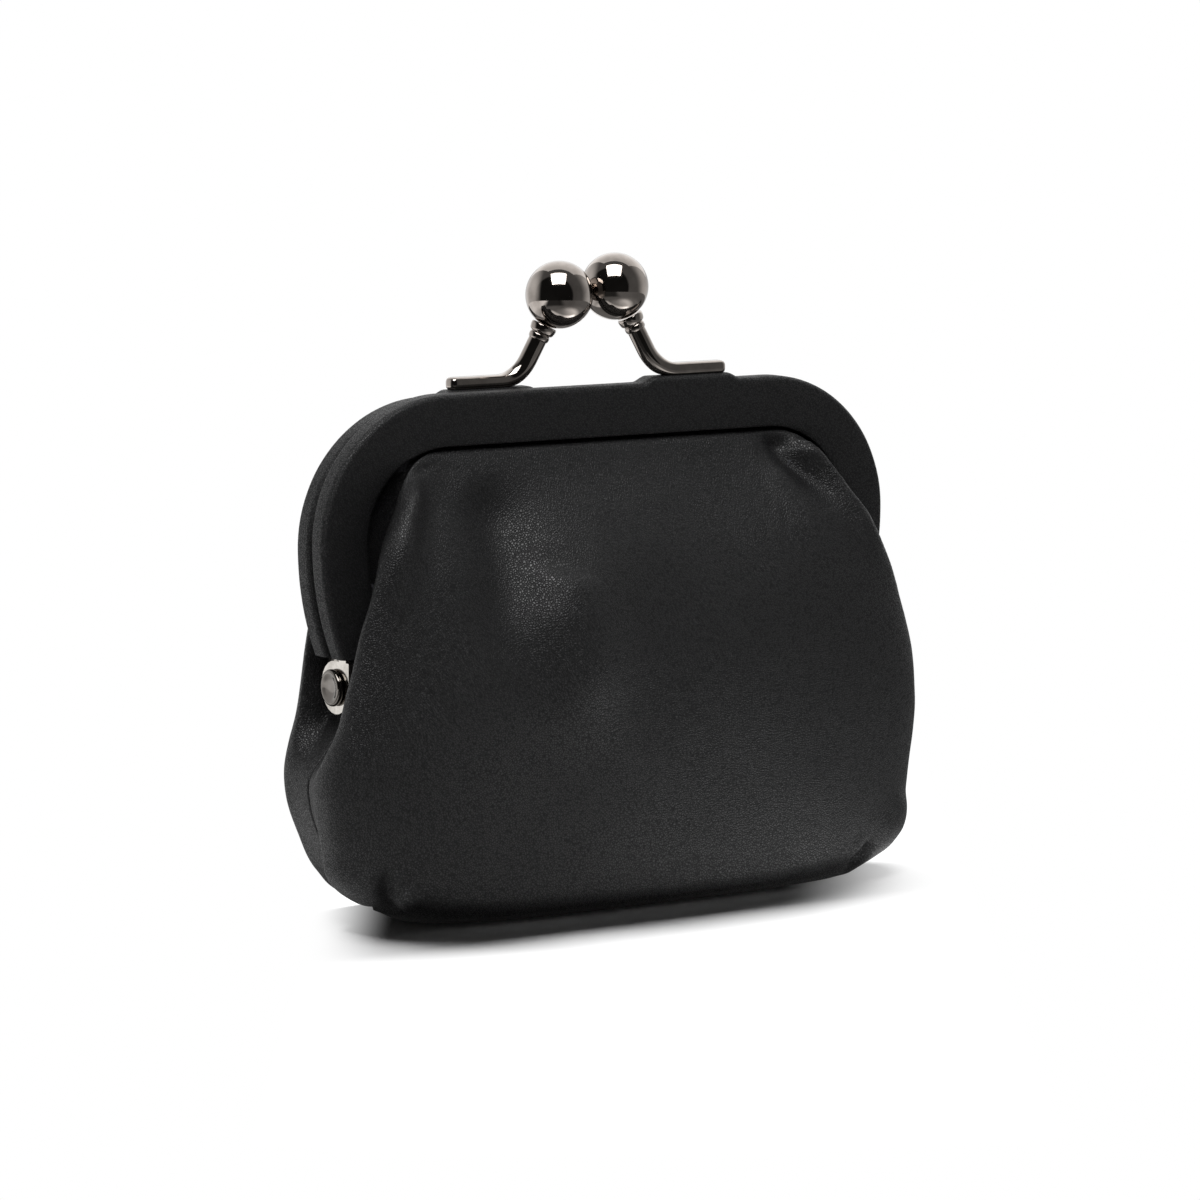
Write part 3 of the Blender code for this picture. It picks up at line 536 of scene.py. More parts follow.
def woven_finish(name, threads, dark, light, depth, roughness):
    """Plain weave: two wave textures at right angles, crossed."""
    made, tree, shader = new_material(name)
    heights = []
    settings = {"Scale": threads, "Distortion": 1.5, "Detail_Scale": 2.0}
    for direction in ("X", "Z"):
        wave = add_node(tree, "TexWave", Vector=object_coords(tree), **settings)
        wave.bands_direction = direction
        heights.append(wave.outputs["Fac"])
    weave = math_node(tree, "MAXIMUM", *heights)
    feed(tree, shader.inputs["Base Color"], mix_colours(tree, weave, dark, light))
    feed(tree, shader.inputs["Roughness"], roughness)
    bump(tree, shader, weave, depth)
    return made


lining_cloth, paper_twine = (
    # name, threads, dark and light colour, depth in mm, roughness
    woven_finish("lining_cloth", 520.0, (0.01, 0.01, 0.012), (0.03, 0.03, 0.034), 0.04, 0.85),
    woven_finish("paper_twine", 700.0, (0.26, 0.19, 0.12), (0.5, 0.4, 0.27), 0.08, 0.9),
)
print("Cloth and paper finishes:", lining_cloth.name, paper_twine.name)

# %% [markdown]
# ## The frame outline
# Both frame halves follow one outline: bowed legs, round corners and a straight top. A point on it
# is found by its station, and moving it inwards by an inset gives the band's inner edge. The same
# lines say where the pouch is held, so they come before it.

# %% Describe the outline in millimetres
HALF_WIDTH, FRONT_TOP, BACK_TOP = 49.4, 75.9, 75.1
CORNER_RADIUS, LEG_RADIUS = 21.0, 45.0
BAND_HEIGHT, BAND_DEPTH, PARTING_GAP = 7.6, 3.8, 0.4
HINGE_HEIGHT, LEG_END = 34.0, 38.4
HALVES = (("front", -1, FRONT_TOP), ("back", 1, BACK_TOP))     # name, side and top
CORNER_X = HALF_WIDTH - CORNER_RADIUS
FACE_DEPTH = PARTING_GAP / 2 + BAND_DEPTH
SEAT_GAP = 0.3
MOUTH_INSET = BAND_HEIGHT + SEAT_GAP
TUCKED_DEPTH = 2.6


def outline_x(height, inset, top):
    """x of the frame outline at a height, moved inwards by an inset. Takes arrays."""
    rise = height - (top - CORNER_RADIUS)
    leg = LEG_RADIUS - inset
    corner = CORNER_RADIUS - inset
    on_leg = HALF_WIDTH - LEG_RADIUS + np.sqrt(np.maximum(leg ** 2 - rise ** 2, 0.0))
    on_corner = CORNER_X + np.sqrt(np.maximum(corner ** 2 - rise ** 2, 0.0))
    return np.where(rise <= 0.0, on_leg, on_corner)


def part_place(points, side):
    """Places in metres of points (x, depth, z) from the parting plane; side is -1 in front."""
    x, depth, z = points.T
    return np.stack([x * MM, (PARTING_Y + side * depth) * MM, z * MM], axis=-1)


print("Mouth corner at x", round(float(outline_x(60.0, MOUTH_INSET, FRONT_TOP)), 1), "mm")

# %% [markdown]
# ## The pouch as a surface
# Real frame purses are gathered: more leather than the frame's mouth is long is pushed into the
# channel, so it swells past the frame below the hinges and bulges in a pleat under each corner. A
# cloth simulation would find some shape of that kind, but not this one. So the surface is written
# down: at each height a row of points runs from the side seam straight out, round the side fold
# and across the front, with sizes from a table that were read along the purse's height.

# %% Write down the pouch's sizes by height
# height, x of the side fold, depth of the side fold, depth of the middle
FRONT_FORM = np.array((
    (0, 42, 3.6, 15), (1, 43.2, 4.2, 16.3), (2.5, 46, 5, 17), (6, 49.9, 5.4, 17.2),
    (12, 50.7, 5.4, 17.2), (17.5, 51.3, 5.2, 17.1), (21.1, 51.7, 5.6, 17),
    (25.1, 51.2, 7.4, 16.9), (29.1, 50.3, 8.9, 16.7), (34.1, 49.5, 9.8, 16.3),
    (38.4, 48.4, 10.25, 15.8), (42.6, 47.3, 10.6, 15), (47.5, 46, 11, 13.7),
    (53.4, 43.2, 10.6, 11.4), (58.3, 40.5, 9, 8.8), (62.2, 38.7, 7.2, 6.6),
    (65.2, 36.2, 5.4, 5), (66.9, 33.2, 4.2, 4.1), (67.5, 31.2, 3.5, 3.6), (68, 28.4, 2.6, 2.6),
))
BACK_FORM = np.array((
    (0, 38.5, 5.8, 8), (1, 40.5, 6.2, 9.2), (2.5, 43, 6.6, 9.8), (6, 45.4, 6.6, 10.8),
    (12, 47.6, 6.3, 11.6), (17.5, 49.3, 6.2, 12), (21.1, 49.5, 6.4, 12.1),
    (25.1, 48.9, 6.2, 12.1), (29.1, 47.9, 6.3, 12), (34.1, 47.2, 6.3, 11.8),
    (38.4, 46.6, 6.2, 11.5), (42.4, 45.7, 6.1, 11), (47.2, 44.3, 5.9, 10.3),
    (52.9, 42.6, 5.6, 9.3), (57.6, 40.6, 5.3, 8.2), (61.4, 38.5, 4.9, 7),
    (64.3, 35.6, 4.8, 5.6), (65.9, 32.5, 3.8, 4.2), (67.2, 28.4, 2.6, 2.6),
))
# height, x of the side seam
SEAM = np.array((
    (0, 38.7), (1, 40.3), (2.5, 42.2), (6, 45.2), (12, 48), (17.5, 49.6), (21.1, 49.6),
    (25.1, 46.6), (29.2, 43.4), (34, 42.07), (38.4, 37.7),
))
print("Heights in the tables:", len(FRONT_FORM), len(BACK_FORM), len(SEAM))

# %% Read a table on a smooth curve


def smooth(share):
    """Share eased at both ends."""
    share = np.clip(share, 0.0, 1.0)
    return share * share * (3.0 - 2.0 * share)


def read(table, place, column):
    """Column of a table at places between its rows, on a smooth curve through them."""
    xs, ys = table[:, 0], table[:, column]
    slopes = np.gradient(ys, xs)
    low = np.clip(np.searchsorted(xs, place) - 1, 0, len(xs) - 2)
    span = xs[low + 1] - xs[low]
    share = np.clip((place - xs[low]) / span, 0.0, 1.0)
    square, cube = share ** 2, share ** 3
    return (
        ys[low] * (2 * cube - 3 * square + 1) + slopes[low] * span * (cube - 2 * square + share)
        + ys[low + 1] * (3 * square - 2 * cube) + slopes[low + 1] * span * (cube - square)
    )


print("Front fold at 30 mm:", round(float(read(FRONT_FORM, 30.0, 1)), 1), "mm out")

# %% [markdown]
# A row is first drawn with many points, then divided evenly along its length, so that the mesh has
# faces of about half a millimetre everywhere and small folds can be pressed in wherever they lie.

# %% Build the rows of one half
HALF_COLUMNS = 120
SIDE_POINTS, FRONT_POINTS = 90, 160     # points of a row before it is divided evenly
SEAM_GAP = 0.15
STRAIGHT_DEPTH, LEAST_SWING = 4.8, 0.2
VALLEY_FOOT, VALLEY_RAMP = 29.2, 8.0
ROUNDNESS = 3.0
# Where the side is drawn in: how far makes it full, the share of the side that stays back, how
# much it dips there in the leather and in the lining, and over what share.
FULL_CAVITY, BACK_SHARE = 3.0, 0.3
DIP, LINING_DIP, DIP_SHARE = 0.7, 0.5, 0.6
FRONT_START = 0.8                       # share of the side from which folds may push it


def half_rows(heights, form, top, undercut, draw, lined):
    """x, depth and front share from the seam to the middle, as arrays of rows by columns."""
    heights = heights[:, None]
    fold_x, fold_depth, middle = (read(form, heights, column) for column in (1, 2, 3))
    fold_x = fold_x + read(draw, heights, 1)
    cavity = np.maximum(read(undercut, heights, 1), 0.0)
    held = smooth((heights - HINGE_HEIGHT) / (LEG_END - HINGE_HEIGHT))
    seam_x = read(SEAM, heights, 1) + read(draw, heights, 1)
    end_x = np.where(heights < LEG_END, seam_x, outline_x(heights, MOUTH_INSET, top))
    end_depth = SEAM_GAP + (TUCKED_DEPTH - SEAM_GAP) * held
    straight = STRAIGHT_DEPTH * smooth(1.0 - (VALLEY_FOOT - heights) / VALLEY_RAMP)
    straight = np.minimum(straight, fold_depth)
    share = np.linspace(0.0, 1.0, SIDE_POINTS)[None, :]
    pull = np.clip(cavity / FULL_CAVITY, 0.0, 1.0)
    rise = share + (smooth((share - BACK_SHARE) / (1.0 - BACK_SHARE)) - share) * pull
    dip = (LINING_DIP if lined else DIP) * np.sin(np.pi * np.clip(share / DIP_SHARE, 0.0, 1.0))
    depth = end_depth + (fold_depth - end_depth) * rise - pull * dip
    swing = smooth((depth - straight) / np.maximum(fold_depth - straight, LEAST_SWING))
    if lined:
        fold_x = fold_x - cavity
    turn = smooth(share * 2.0) if lined else smooth(share)
    x = end_x + (fold_x - end_x) * (swing + (turn - swing) * pull)
    if not lined:
        x = x - cavity * np.sin(np.pi * share) ** 2
    angle = np.linspace(0.0, np.pi / 2, FRONT_POINTS)[None, 1:]
    front_x = fold_x * np.abs(np.cos(angle)) ** (2.0 / ROUNDNESS)
    front_depth = fold_depth + (middle - fold_depth) * np.sin(angle) ** (2.0 / ROUNDNESS)
    front_x[:, -1] = 0.0
    front = smooth((share[0] - FRONT_START) / (1.0 - FRONT_START))
    front = np.concatenate([front, np.ones(FRONT_POINTS - 1)])
    x, depth = np.hstack([x, front_x]), np.hstack([depth, front_depth])
    steps = np.hypot(np.diff(x, axis=1), np.diff(depth, axis=1))
    length = np.hstack([np.zeros((len(x), 1)), np.cumsum(steps, axis=1)])
    even = np.linspace(0.0, 1.0, HALF_COLUMNS + 1)
    rows = np.array([
        [np.interp(even * run[-1], run, values) for values in (xs, ds, front)]
        for run, xs, ds in zip(length, x, depth)
    ])
    return rows.transpose(1, 0, 2)


# height, how deep the side is drawn in between the band and the side fold
UNDERCUT = np.array((
    (0, 0), (36, 0), (40, 0.4), (44, 2.4), (50, 6), (57, 7), (62, 5.2),
    (66, 1.5), (70, 0),
))


FOOT_ROWS = np.array((0.0, 0.12, 0.3, 0.55, 0.85, 1.2, 1.6, 2.05, 2.55, 3.1))
MOUTH_ROWS = np.array((
    3.3, 2.8, 2.35, 1.95, 1.6, 1.3, 1.02, 0.78, 0.58, 0.4, 0.26, 0.14, 0.06, 0.0,
))
FIRST_EVEN_ROW, ROW_STEP, LEAST_STEP = 3.65, 0.55, 0.3


def row_heights(mouth):
    """Heights of the rows, closer together at the foot and towards the mouth."""
    rim = mouth - MOUTH_ROWS
    even = np.arange(FIRST_EVEN_ROW, rim[0] - LEAST_STEP, ROW_STEP)
    return np.concatenate([FOOT_ROWS, even, rim])


# height, how much further out than the tables say the sides lie, in mm
LEFT_DRAW = np.array((
    (0, -4), (1, -3), (2.5, -2.3), (6, -1.2), (12, -0.3), (17.5, 0), (38, 0),
    (44, 0.3), (48, 0.1), (54, 0.2), (60, 0.5), (64, 0.5), (68, 0),
))
RIGHT_DRAW = np.array((
    (0, 0), (38, 0), (48, -0.4), (54, -1), (60, -1.4), (64, -0.8), (68, 0),
))


UNDER_ROWS, UNDER_DRAW = 11, 0.025     # rows under the bottom, and how far they draw in there
HOLD_RAMP = 6.0


def pouch_surface(form, top, undercut, lined=False):
    """Base surface of one half, rows by columns with the bottom first, and its front share."""
    heights = row_heights(top - MOUTH_INSET)
    ends = [
        half_rows(heights, form, top, undercut, draw, lined) for draw in (LEFT_DRAW, RIGHT_DRAW)
    ]
    x, depth, front = (
        np.hstack([turn * first, second[:, -2::-1]])
        for turn, first, second in zip((-1.0, 1.0, 1.0), *ends)
    )
    held = smooth((heights[:, None] - HINGE_HEIGHT) / HOLD_RAMP)
    front = np.vstack([np.ones((UNDER_ROWS, front.shape[1])), 1.0 + (front - 1.0) * held])
    z = np.repeat(heights[:, None], x.shape[1], axis=1)
    shares = np.linspace(0.0, 1.0, UNDER_ROWS + 1)[:-1, None]
    under_x = x[0] * (1.0 - UNDER_DRAW + UNDER_DRAW * shares)
    under_depth = SEAM_GAP + (depth[0] - SEAM_GAP) * shares
    x, depth = np.vstack([under_x, x]), np.vstack([under_depth, depth])
    z = np.vstack([np.zeros_like(under_x), z])
    return np.stack([x, depth, z], axis=-1), front


BACK_UNDERCUT = UNDERCUT * (1.0, 0.5)
front_base, front_share = pouch_surface(FRONT_FORM, FRONT_TOP, UNDERCUT)
back_base, back_share = pouch_surface(BACK_FORM, BACK_TOP, BACK_UNDERCUT)
print("Rows and columns:", front_base.shape[:2], back_base.shape[:2])

# %% [markdown]
# ## Folds, pleats and wrinkles
# Each fold is a line drawn on the pouch as seen from the front. Points near the line are pushed out
# for a ridge or in for a crease, and the push fades with the distance and towards the line's ends.

# %% Helpers that push folds into the surface


def normals_of(surface):
    """Outward directions at each point of a half's surface."""
    along = np.gradient(surface, axis=1)
    upward = np.gradient(surface, axis=0)
    normal = np.cross(upward, along)
    length = np.linalg.norm(normal, axis=-1, keepdims=True)
    return normal / np.maximum(length, 1e-9)


def line_share(x, z, line):
    """Distance of each point from a drawn line, and how far along the line its nearest point is."""
    line = np.array(line, dtype=float)
    spans = np.linalg.norm(np.diff(line, axis=0), axis=1)
    before = np.concatenate([[0.0], np.cumsum(spans)])
    best = np.full(x.shape, np.inf)
    share = np.zeros(x.shape)
    for index, span in enumerate(spans):
        start, way = line[index], (line[index + 1] - line[index]) / span
        reach = np.clip((x - start[0]) * way[0] + (z - start[1]) * way[1], 0.0, span)
        gap = np.hypot(x - start[0] - way[0] * reach, z - start[1] - way[1] * reach)
        closer = gap < best
        best = np.where(closer, gap, best)
        share = np.where(closer, (before[index] + reach) / before[-1], share)
    return best, share


def press(surface, folds):
    """Push of a list of folds (line, width, height, fade at the start, fade at the end)."""
    x, z = surface[..., 0], surface[..., 2]
    total = np.zeros(x.shape)
    for line, width, height, fade_in, fade_out in folds:
        gap, share = line_share(x, z, line)
        ends = smooth(share / fade_in) * smooth((1.0 - share) / fade_out)
        total += height * np.exp(-((gap / width) ** 2)) * ends
    return total


def noise_push(surface, scale, stretch=(1.0, 1.0, 1.0), shift=0.0):
    """Soft noise between -1 and 1 at each point; scale is the size of a wave in mm."""
    flat = surface.reshape(-1, 3) * np.array(stretch) / scale + shift
    values = [noise.noise(Vector(point)) for point in flat]
    return np.array(values).reshape(surface.shape[:2])


print("Fold helpers ready")

# %% [markdown]
# The broad forms come first, because all layers of the pouch follow them: the knob of gathered
# leather under each corner of the frame with a dimple beside it, the soft ridge that runs down the
# front from the left, the darts at the lower corners, and slow unevenness.

# %% Press the broad forms into the front
FRONT_BROAD = (
    # line (x, z), width, push, shares of the line over which the push starts and ends
    # the gathered pleat under each corner, a tube that runs down along the side fold
    (
        ((33.2, 65), (35.6, 63.2), (38, 60.6), (40.4, 57), (42.2, 52), (43.6, 46)),
        2.4, 2, 0.01, 0.6,
    ),
    (((32, 65), (33.6, 64.7), (35, 63.8)), 1.7, 2.8, 0.2, 0.5),
    (
        ((-33.6, 64.9), (-36.6, 62.2), (-39.4, 58.2), (-41.8, 52.6), (-44.6, 45)),
        2.8, 3, 0.25, 0.5,
    ),
    # the valley beside each pleat, deepest as a dimple under the band
    (((29.6, 67.4), (29.6, 65), (32.2, 61.8), (35, 59.2), (38, 55.6)), 2.1, -1.7, 0.05, 0.7),
    (((29.2, 66.6), (29, 64.4)), 1.1, -0.8, 0.3, 0.3),
    (((-30.6, 67), (-31.8, 63.6), (-34.4, 59), (-37.4, 54)), 2.6, -0.5, 0.05, 0.6),
    (((26.6, 64), (28, 58.6), (30.8, 52.6), (34, 47)), 2.8, 0.6, 0.2, 0.5),
    # soft ridge down the front and the valley left of it
    (
        ((-11.2, 64), (-9.7, 56), (-9.7, 48), (-11.2, 40), (-14, 31), (-17, 22)),
        7, 3.3, 0.66, 0.38,
    ),
    (((-14.6, 50), (-16, 45), (-19.5, 41), (-23, 37.5)), 4.6, 1.6, 0.05, 0.6),
    (
        ((-23.7, 65), (-23.2, 58), (-23.7, 50), (-25.7, 42), (-28.5, 35)),
        5.4, -2.7, 0.22, 0.7,
    ),
    # darts at the lower corners
    (((-44.6, 10.5), (-44.4, 6), (-42, 1.6)), 0.9, -1.5, 0.5, 0.05),
    (((-42.4, 6), (-40.8, 3.2)), 1.5, 1.2, 0.3, 0.2),
    (((40.6, 6), (38.6, 3.4), (36, 1.6)), 1, -1.3, 0.4, 0.1),
    (((47.6, 13), (46, 7), (42, 4)), 2.4, 0.7, 0.3, 0.3),
)
CALM_FOOT, CALM_RAMP, CALM_WIDTH = 57.0, 5.0, 1.8     # heights, and width along the band
EASE_FOOT, EASE_RAMP, EASE_SHARE = 38.0, 5.0, 0.6
WAVE_SIZE, WAVE_STRETCH = 15.0, (1.0, 0.6, 0.7)
WAVE_FOOT, WAVE_TOP, WAVE_RAMP = 6.0, 66.5, 8.0
FRONT_WAVES, BACK_WAVES = 0.5, 0.6


def mouth_calm(surface, top):
    """Share of a push that is left near the mouth's edge, where the leather dives in."""
    x, z = np.abs(surface[..., 0]), surface[..., 2]
    over_x = np.maximum(x - CORNER_X, 0.0)
    over_z = np.maximum(z - (top - CORNER_RADIUS), 0.0)
    gap = CORNER_RADIUS - MOUTH_INSET - np.hypot(over_x, over_z)
    return 1.0 - smooth((z - CALM_FOOT) / CALM_RAMP) * (1.0 - smooth(gap / CALM_WIDTH))


def eased(surface, turns=5):
    """Surface whose points above the hinges are moved to the middle of their neighbours."""
    surface = surface.copy()
    for _ in range(turns):
        inner = surface[1:-1, 1:-1]
        middle = surface[:-2, 1:-1] + surface[2:, 1:-1] + surface[1:-1, :-2] + surface[1:-1, 2:]
        share = EASE_SHARE * smooth((inner[..., 2] - EASE_FOOT) / EASE_RAMP)
        inner += (middle / 4 - inner) * share[..., None]
    return surface


def shaped(base, share, folds, waves):
    """Base surface pushed out along its normals by folds and slow unevenness, in front only."""
    push = press(base, folds)
    z = base[..., 2]
    calm = smooth(z / WAVE_FOOT) * smooth((WAVE_TOP - z) / WAVE_RAMP)
    push += waves * noise_push(base, WAVE_SIZE, WAVE_STRETCH) * calm
    return eased(base + normals_of(base) * (push * share)[..., None])


front_share *= mouth_calm(front_base, FRONT_TOP)
back_share *= mouth_calm(back_base, BACK_TOP)
front_broad = shaped(front_base, front_share, FRONT_BROAD, FRONT_WAVES)
back_broad = shaped(back_base, back_share, (), BACK_WAVES)
# the lining doesn't follow the pleats out under the frame, it passes straight behind them
lined = pouch_surface(FRONT_FORM, FRONT_TOP, UNDERCUT, lined=True)
front_lined = shaped(*lined, FRONT_BROAD, FRONT_WAVES)
lined = pouch_surface(BACK_FORM, BACK_TOP, BACK_UNDERCUT, lined=True)
back_lined = shaped(*lined, (), BACK_WAVES)
print("Largest push in front:", round(float(np.abs(front_broad - front_base).max()), 2), "mm")

# %% [markdown]
# The fine folds touch only the outer skin: creases that fan out from the knobs, where the leather
# is pressed together, and small wrinkles along the side folds and above the darts.

# %% Press the fine wrinkles into the outer skin


FAN_FADES = (0.25, 0.7)


def fan(centre, angles, near, far, bend, width, height):
    """Creases that spread from a point, at angles in degrees, with a bend in mm at their middle."""
    folds = []
    for index, angle in enumerate(angles):
        way = np.array((math.cos(math.radians(angle)), math.sin(math.radians(angle))))
        across = np.array((-way[1], way[0]))
        middle = np.array(centre) + way * (near + far[index]) / 2 + across * bend
        first, last = np.array(centre) + way * near, np.array(centre) + way * far[index]
        folds.append(((first, middle, last), width, height, *FAN_FADES))
    return folds


FRONT_FINE = (
    # middle, angles, start and ends of the creases, bend, width, push
    fan((27.0, 64.0), (-134, -116, -99, -83), 3.0, (8, 12, 15, 14), 0.8, 0.6, -0.14)
    + fan((-32.0, 66.4), (-12, -26, -40, -54, -68), 2.4, (8, 10, 12, 13, 12), -0.5, 0.5, -0.2)
    + fan((-43.4, 3.2), (66, 82, 98, 114), 3.5, (8, 10, 9, 7), 0.3, 0.6, -0.34)
    + fan((38.0, 2.5), (60, 78, 96, 115), 3.0, (7, 9, 8, 7), 0.3, 0.8, -0.2)
)


WRINKLES = 0.16
# amount, place in x or z, width or ramp of the wrinkles at the pleats, side folds and bottom
PLEAT_WRINKLES, PLEAT_RISE = (0.6, 36.0, 9.0), (36.0, 22.0)
SIDE_WRINKLES, BOTTOM_WRINKLES = (0.35, 40.0, 8.0), (0.5, 9.0)
FINE_NOISE, SOFT_NOISE = (2.6, (0.7, 1.0, 0.45), 7.0), (5.5, (1.0, 1.0, 0.8), 3.0)
SOFT_SHARE = 0.35


def wrinkled(broad, base, share, folds):
    """Outer skin: the broad surface with fine folds and fine noise near the gathers."""
    x, z = np.abs(base[..., 0]), base[..., 2]
    amount, middle, width = PLEAT_WRINKLES
    foot, ramp = PLEAT_RISE
    gathers = amount * np.exp(-(((x - middle) / width) ** 2)) * smooth((z - foot) / ramp)
    amount, start, ramp = SIDE_WRINKLES
    gathers += amount * smooth((x - start) / ramp)
    amount, height = BOTTOM_WRINKLES
    gathers += amount * smooth((height - z) / height)
    push = press(base, folds)
    push += WRINKLES * gathers * noise_push(base, *FINE_NOISE)
    push += SOFT_SHARE * WRINKLES * noise_push(base, *SOFT_NOISE)
    skin = broad + normals_of(broad) * (push * share)[..., None]
    skin[..., 2] = np.maximum(skin[..., 2], 0.0)
    return skin


front_skin = wrinkled(front_broad, front_base, front_share, FRONT_FINE)
back_skin = wrinkled(back_broad, back_base, back_share, ())
print("Fine folds in front:", len(FRONT_FINE))

# %% [markdown]
# ## From surfaces to closed shells
# The leather has two skins a millimetre apart, joined round every edge, so it is a closed solid.
# Its upper edge is skived thinner and carried on into the channel, where the twine wedges it.

# %% Build leather and lining shells
TUCK_STEPS = (0.8, 2.2, 4.0)
LEATHER_THICKNESS, SKIVED_THICKNESS = 1.0, 0.6
LINING_GAP, LINING_THICKNESS, LINING_STEP = 0.8, 0.3, 3
LEAST_DEPTH = 0.1


def piece_from(name, places, faces, finish, crease=None):
    """Object of a mesh with outward normals, smooth but for edges sharper than the crease angle."""
    mesh = bpy.data.meshes.new(name)
    mesh.from_pydata([tuple(place) for place in places], [], faces)
    shape = bmesh.new()
    shape.from_mesh(mesh)
    bmesh.ops.recalc_face_normals(shape, faces=shape.faces)
    if shape.calc_volume(signed=True) < 0.0:
        bmesh.ops.reverse_faces(shape, faces=shape.faces)
    shape.to_mesh(mesh)
    shape.free()
    mesh.shade_smooth()
    if crease:
        mesh.set_sharp_from_angle(angle=math.radians(crease))
    mesh.materials.append(finish)
    made = bpy.data.objects.new(name, mesh)
    bpy.context.scene.collection.objects.link(made)
    return made


def tuck_ways(edge, top):
    """Direction from the mouth's edge into the channel, for each point of the edge."""
    rise = edge[:, 2] - (top - CORNER_RADIUS)
    across = np.where(
        rise > 0.0, np.sign(edge[:, 0]) * np.maximum(np.abs(edge[:, 0]) - CORNER_X, 0.0), edge[:, 0]
    )
    way = np.stack([across, np.zeros(len(edge)), np.maximum(rise, 0.0)], axis=-1)
    return way / np.linalg.norm(way, axis=1, keepdims=True)


def shell(name, outer, inner, top, side, finish):
    """Closed shell between an outer and an inner surface, carried into the channel at the mouth."""
    rows, columns = outer.shape[:2]
    number = np.arange(rows * columns).reshape(rows, columns)
    faces = [
        (number[r, c], number[r, c + 1], number[r + 1, c + 1], number[r + 1, c])
        for r in range(rows - 1) for c in range(columns - 1)
    ]
    held = np.nonzero(outer[:, 0, 2] >= LEG_END)[0][0]
    chain = np.concatenate([number[held:-1, 0], number[-1], number[-2:held - 1:-1, -1]])
    skins = []
    for skin, level in ((outer, 0.0), (inner, SKIVED_THICKNESS)):
        flat = skin.reshape(-1, 3).copy()
        edge = outer.reshape(-1, 3)[chain].copy()
        edge[:, 1] = TUCKED_DEPTH - level
        flat[chain] = edge
        way = tuck_ways(edge, top)
        skins.append(np.vstack([flat] + [edge + way * step for step in TUCK_STEPS]))
    last = chain
    for ring in range(len(TUCK_STEPS)):
        after = rows * columns + ring * len(chain) + np.arange(len(chain))
        faces += [(last[i], last[i + 1], after[i + 1], after[i]) for i in range(len(chain) - 1)]
        last = after
    count = len(skins[0])
    used = {(face[i], face[(i + 1) % 4]) for face in faces for i in range(4)}
    rims = [(b, a, a + count, b + count) for a, b in used if (b, a) not in used]
    inside = [tuple(corner + count for corner in reversed(face)) for face in faces]
    points = np.vstack(skins)
    return piece_from(name, part_place(points, side), faces + inside + sorted(rims), finish)


def inward(surface, level):
    """Surface moved inwards by a level, kept behind the parting plane and above the bottom."""
    moved = surface - normals_of(surface) * level
    moved[..., 1] = np.maximum(moved[..., 1], LEAST_DEPTH)
    moved[..., 2] = np.maximum(moved[..., 2], level)
    return moved


def thinned(count):
    """Numbers of the rows or columns that the lining keeps, with the last one."""
    return sorted(set(range(0, count, LINING_STEP)) | {count - 1})


for (half, side, top), skin, broad, lined in zip(
    HALVES, (front_skin, back_skin), (front_broad, back_broad), (front_lined, back_lined)
):
    inner = inward(broad, LEATHER_THICKNESS)
    leather = shell(half + "_leather", skin, inner, top, side, pouch_leather)
    coarse = lined[thinned(lined.shape[0])][:, thinned(lined.shape[1])]
    level = LEATHER_THICKNESS + LINING_GAP
    outer, inner = inward(coarse, level), inward(coarse, level + LINING_THICKNESS)
    cloth = shell(half + "_lining", outer, inner, top, side, lining_cloth)
    for made, layer, slot in (
        (leather, "panel", "black_leather"), (cloth, "lining", "black_lining"),
    ):
        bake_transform(made, "pouch", half + "_frame", (0.0, 0.0, 0.008), (0.0, 0.0, 0.0385))
        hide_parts(half + "_body_" + layer, half + "_upper_" + layer)
        print(made.name, "has", len(made.data.vertices), "points")

# %% [markdown]
# ## Frame covers
# Each frame half is wrapped in a strip of the same leather, glued over the metal channel and turned
# round its edges. A section of the wrap is swept along the outline, closer together than in the
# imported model, with a slightly crowned face, soft edges and a raised pad under each clasp foot.

# %% Build the leather covers
CLASP_X = -1.9
BALL_RADIUS, BALL_SPACING, BALL_CROSSING, BALL_HEIGHT = 5.0, 10.4, 1.0, 14.2
STEM_RADIUS, STEM_LEAN, FOOT_HEIGHT, FOOT_REACH = 1.35, math.radians(24.0), 1.7, 22.8
FOOT_START = BALL_SPACING / 2 + (BALL_HEIGHT - FOOT_HEIGHT) * math.tan(STEM_LEAN)
PAD_LEAD, PAD_RISE, PAD_RAMP = 1.1, 0.85, 2.4
COVER_THICKNESS, EDGE_ROUNDING, EDGE_STEPS = 0.6, 0.9, 7
LIP, LIP_DROPS = 0.25, (0.0, 0.12, 0.28, 0.5)       # rounding of the face's inner edge
CROWN, CROWN_INSETS = 0.1, np.linspace(6.5, 1.6, 7)     # swell of the face
PARTING_POINT = 3.0
UNEVENNESS, UNEVEN_SIZE, UNEVEN_FROM = 0.05, 4.0, 1.0
LEG_POINTS, CORNER_POINTS, TOP_POINTS = 22, 46, 141


def outline_stations():
    """Stations from the foot of the right leg round the top to the foot of the left leg."""
    leg = [("leg", share) for share in np.linspace(0.0, 1.0, LEG_POINTS)[:-1]]
    corner = [("corner", angle) for angle in np.linspace(0.0, math.pi / 2, CORNER_POINTS)[:-1]]
    across = [(1.0, "top", share) for share in np.linspace(1.0, -1.0, TOP_POINTS)]
    half = [(1.0, *station) for station in leg + corner]
    return half + across + [(-1.0, *station[1:]) for station in reversed(half)]


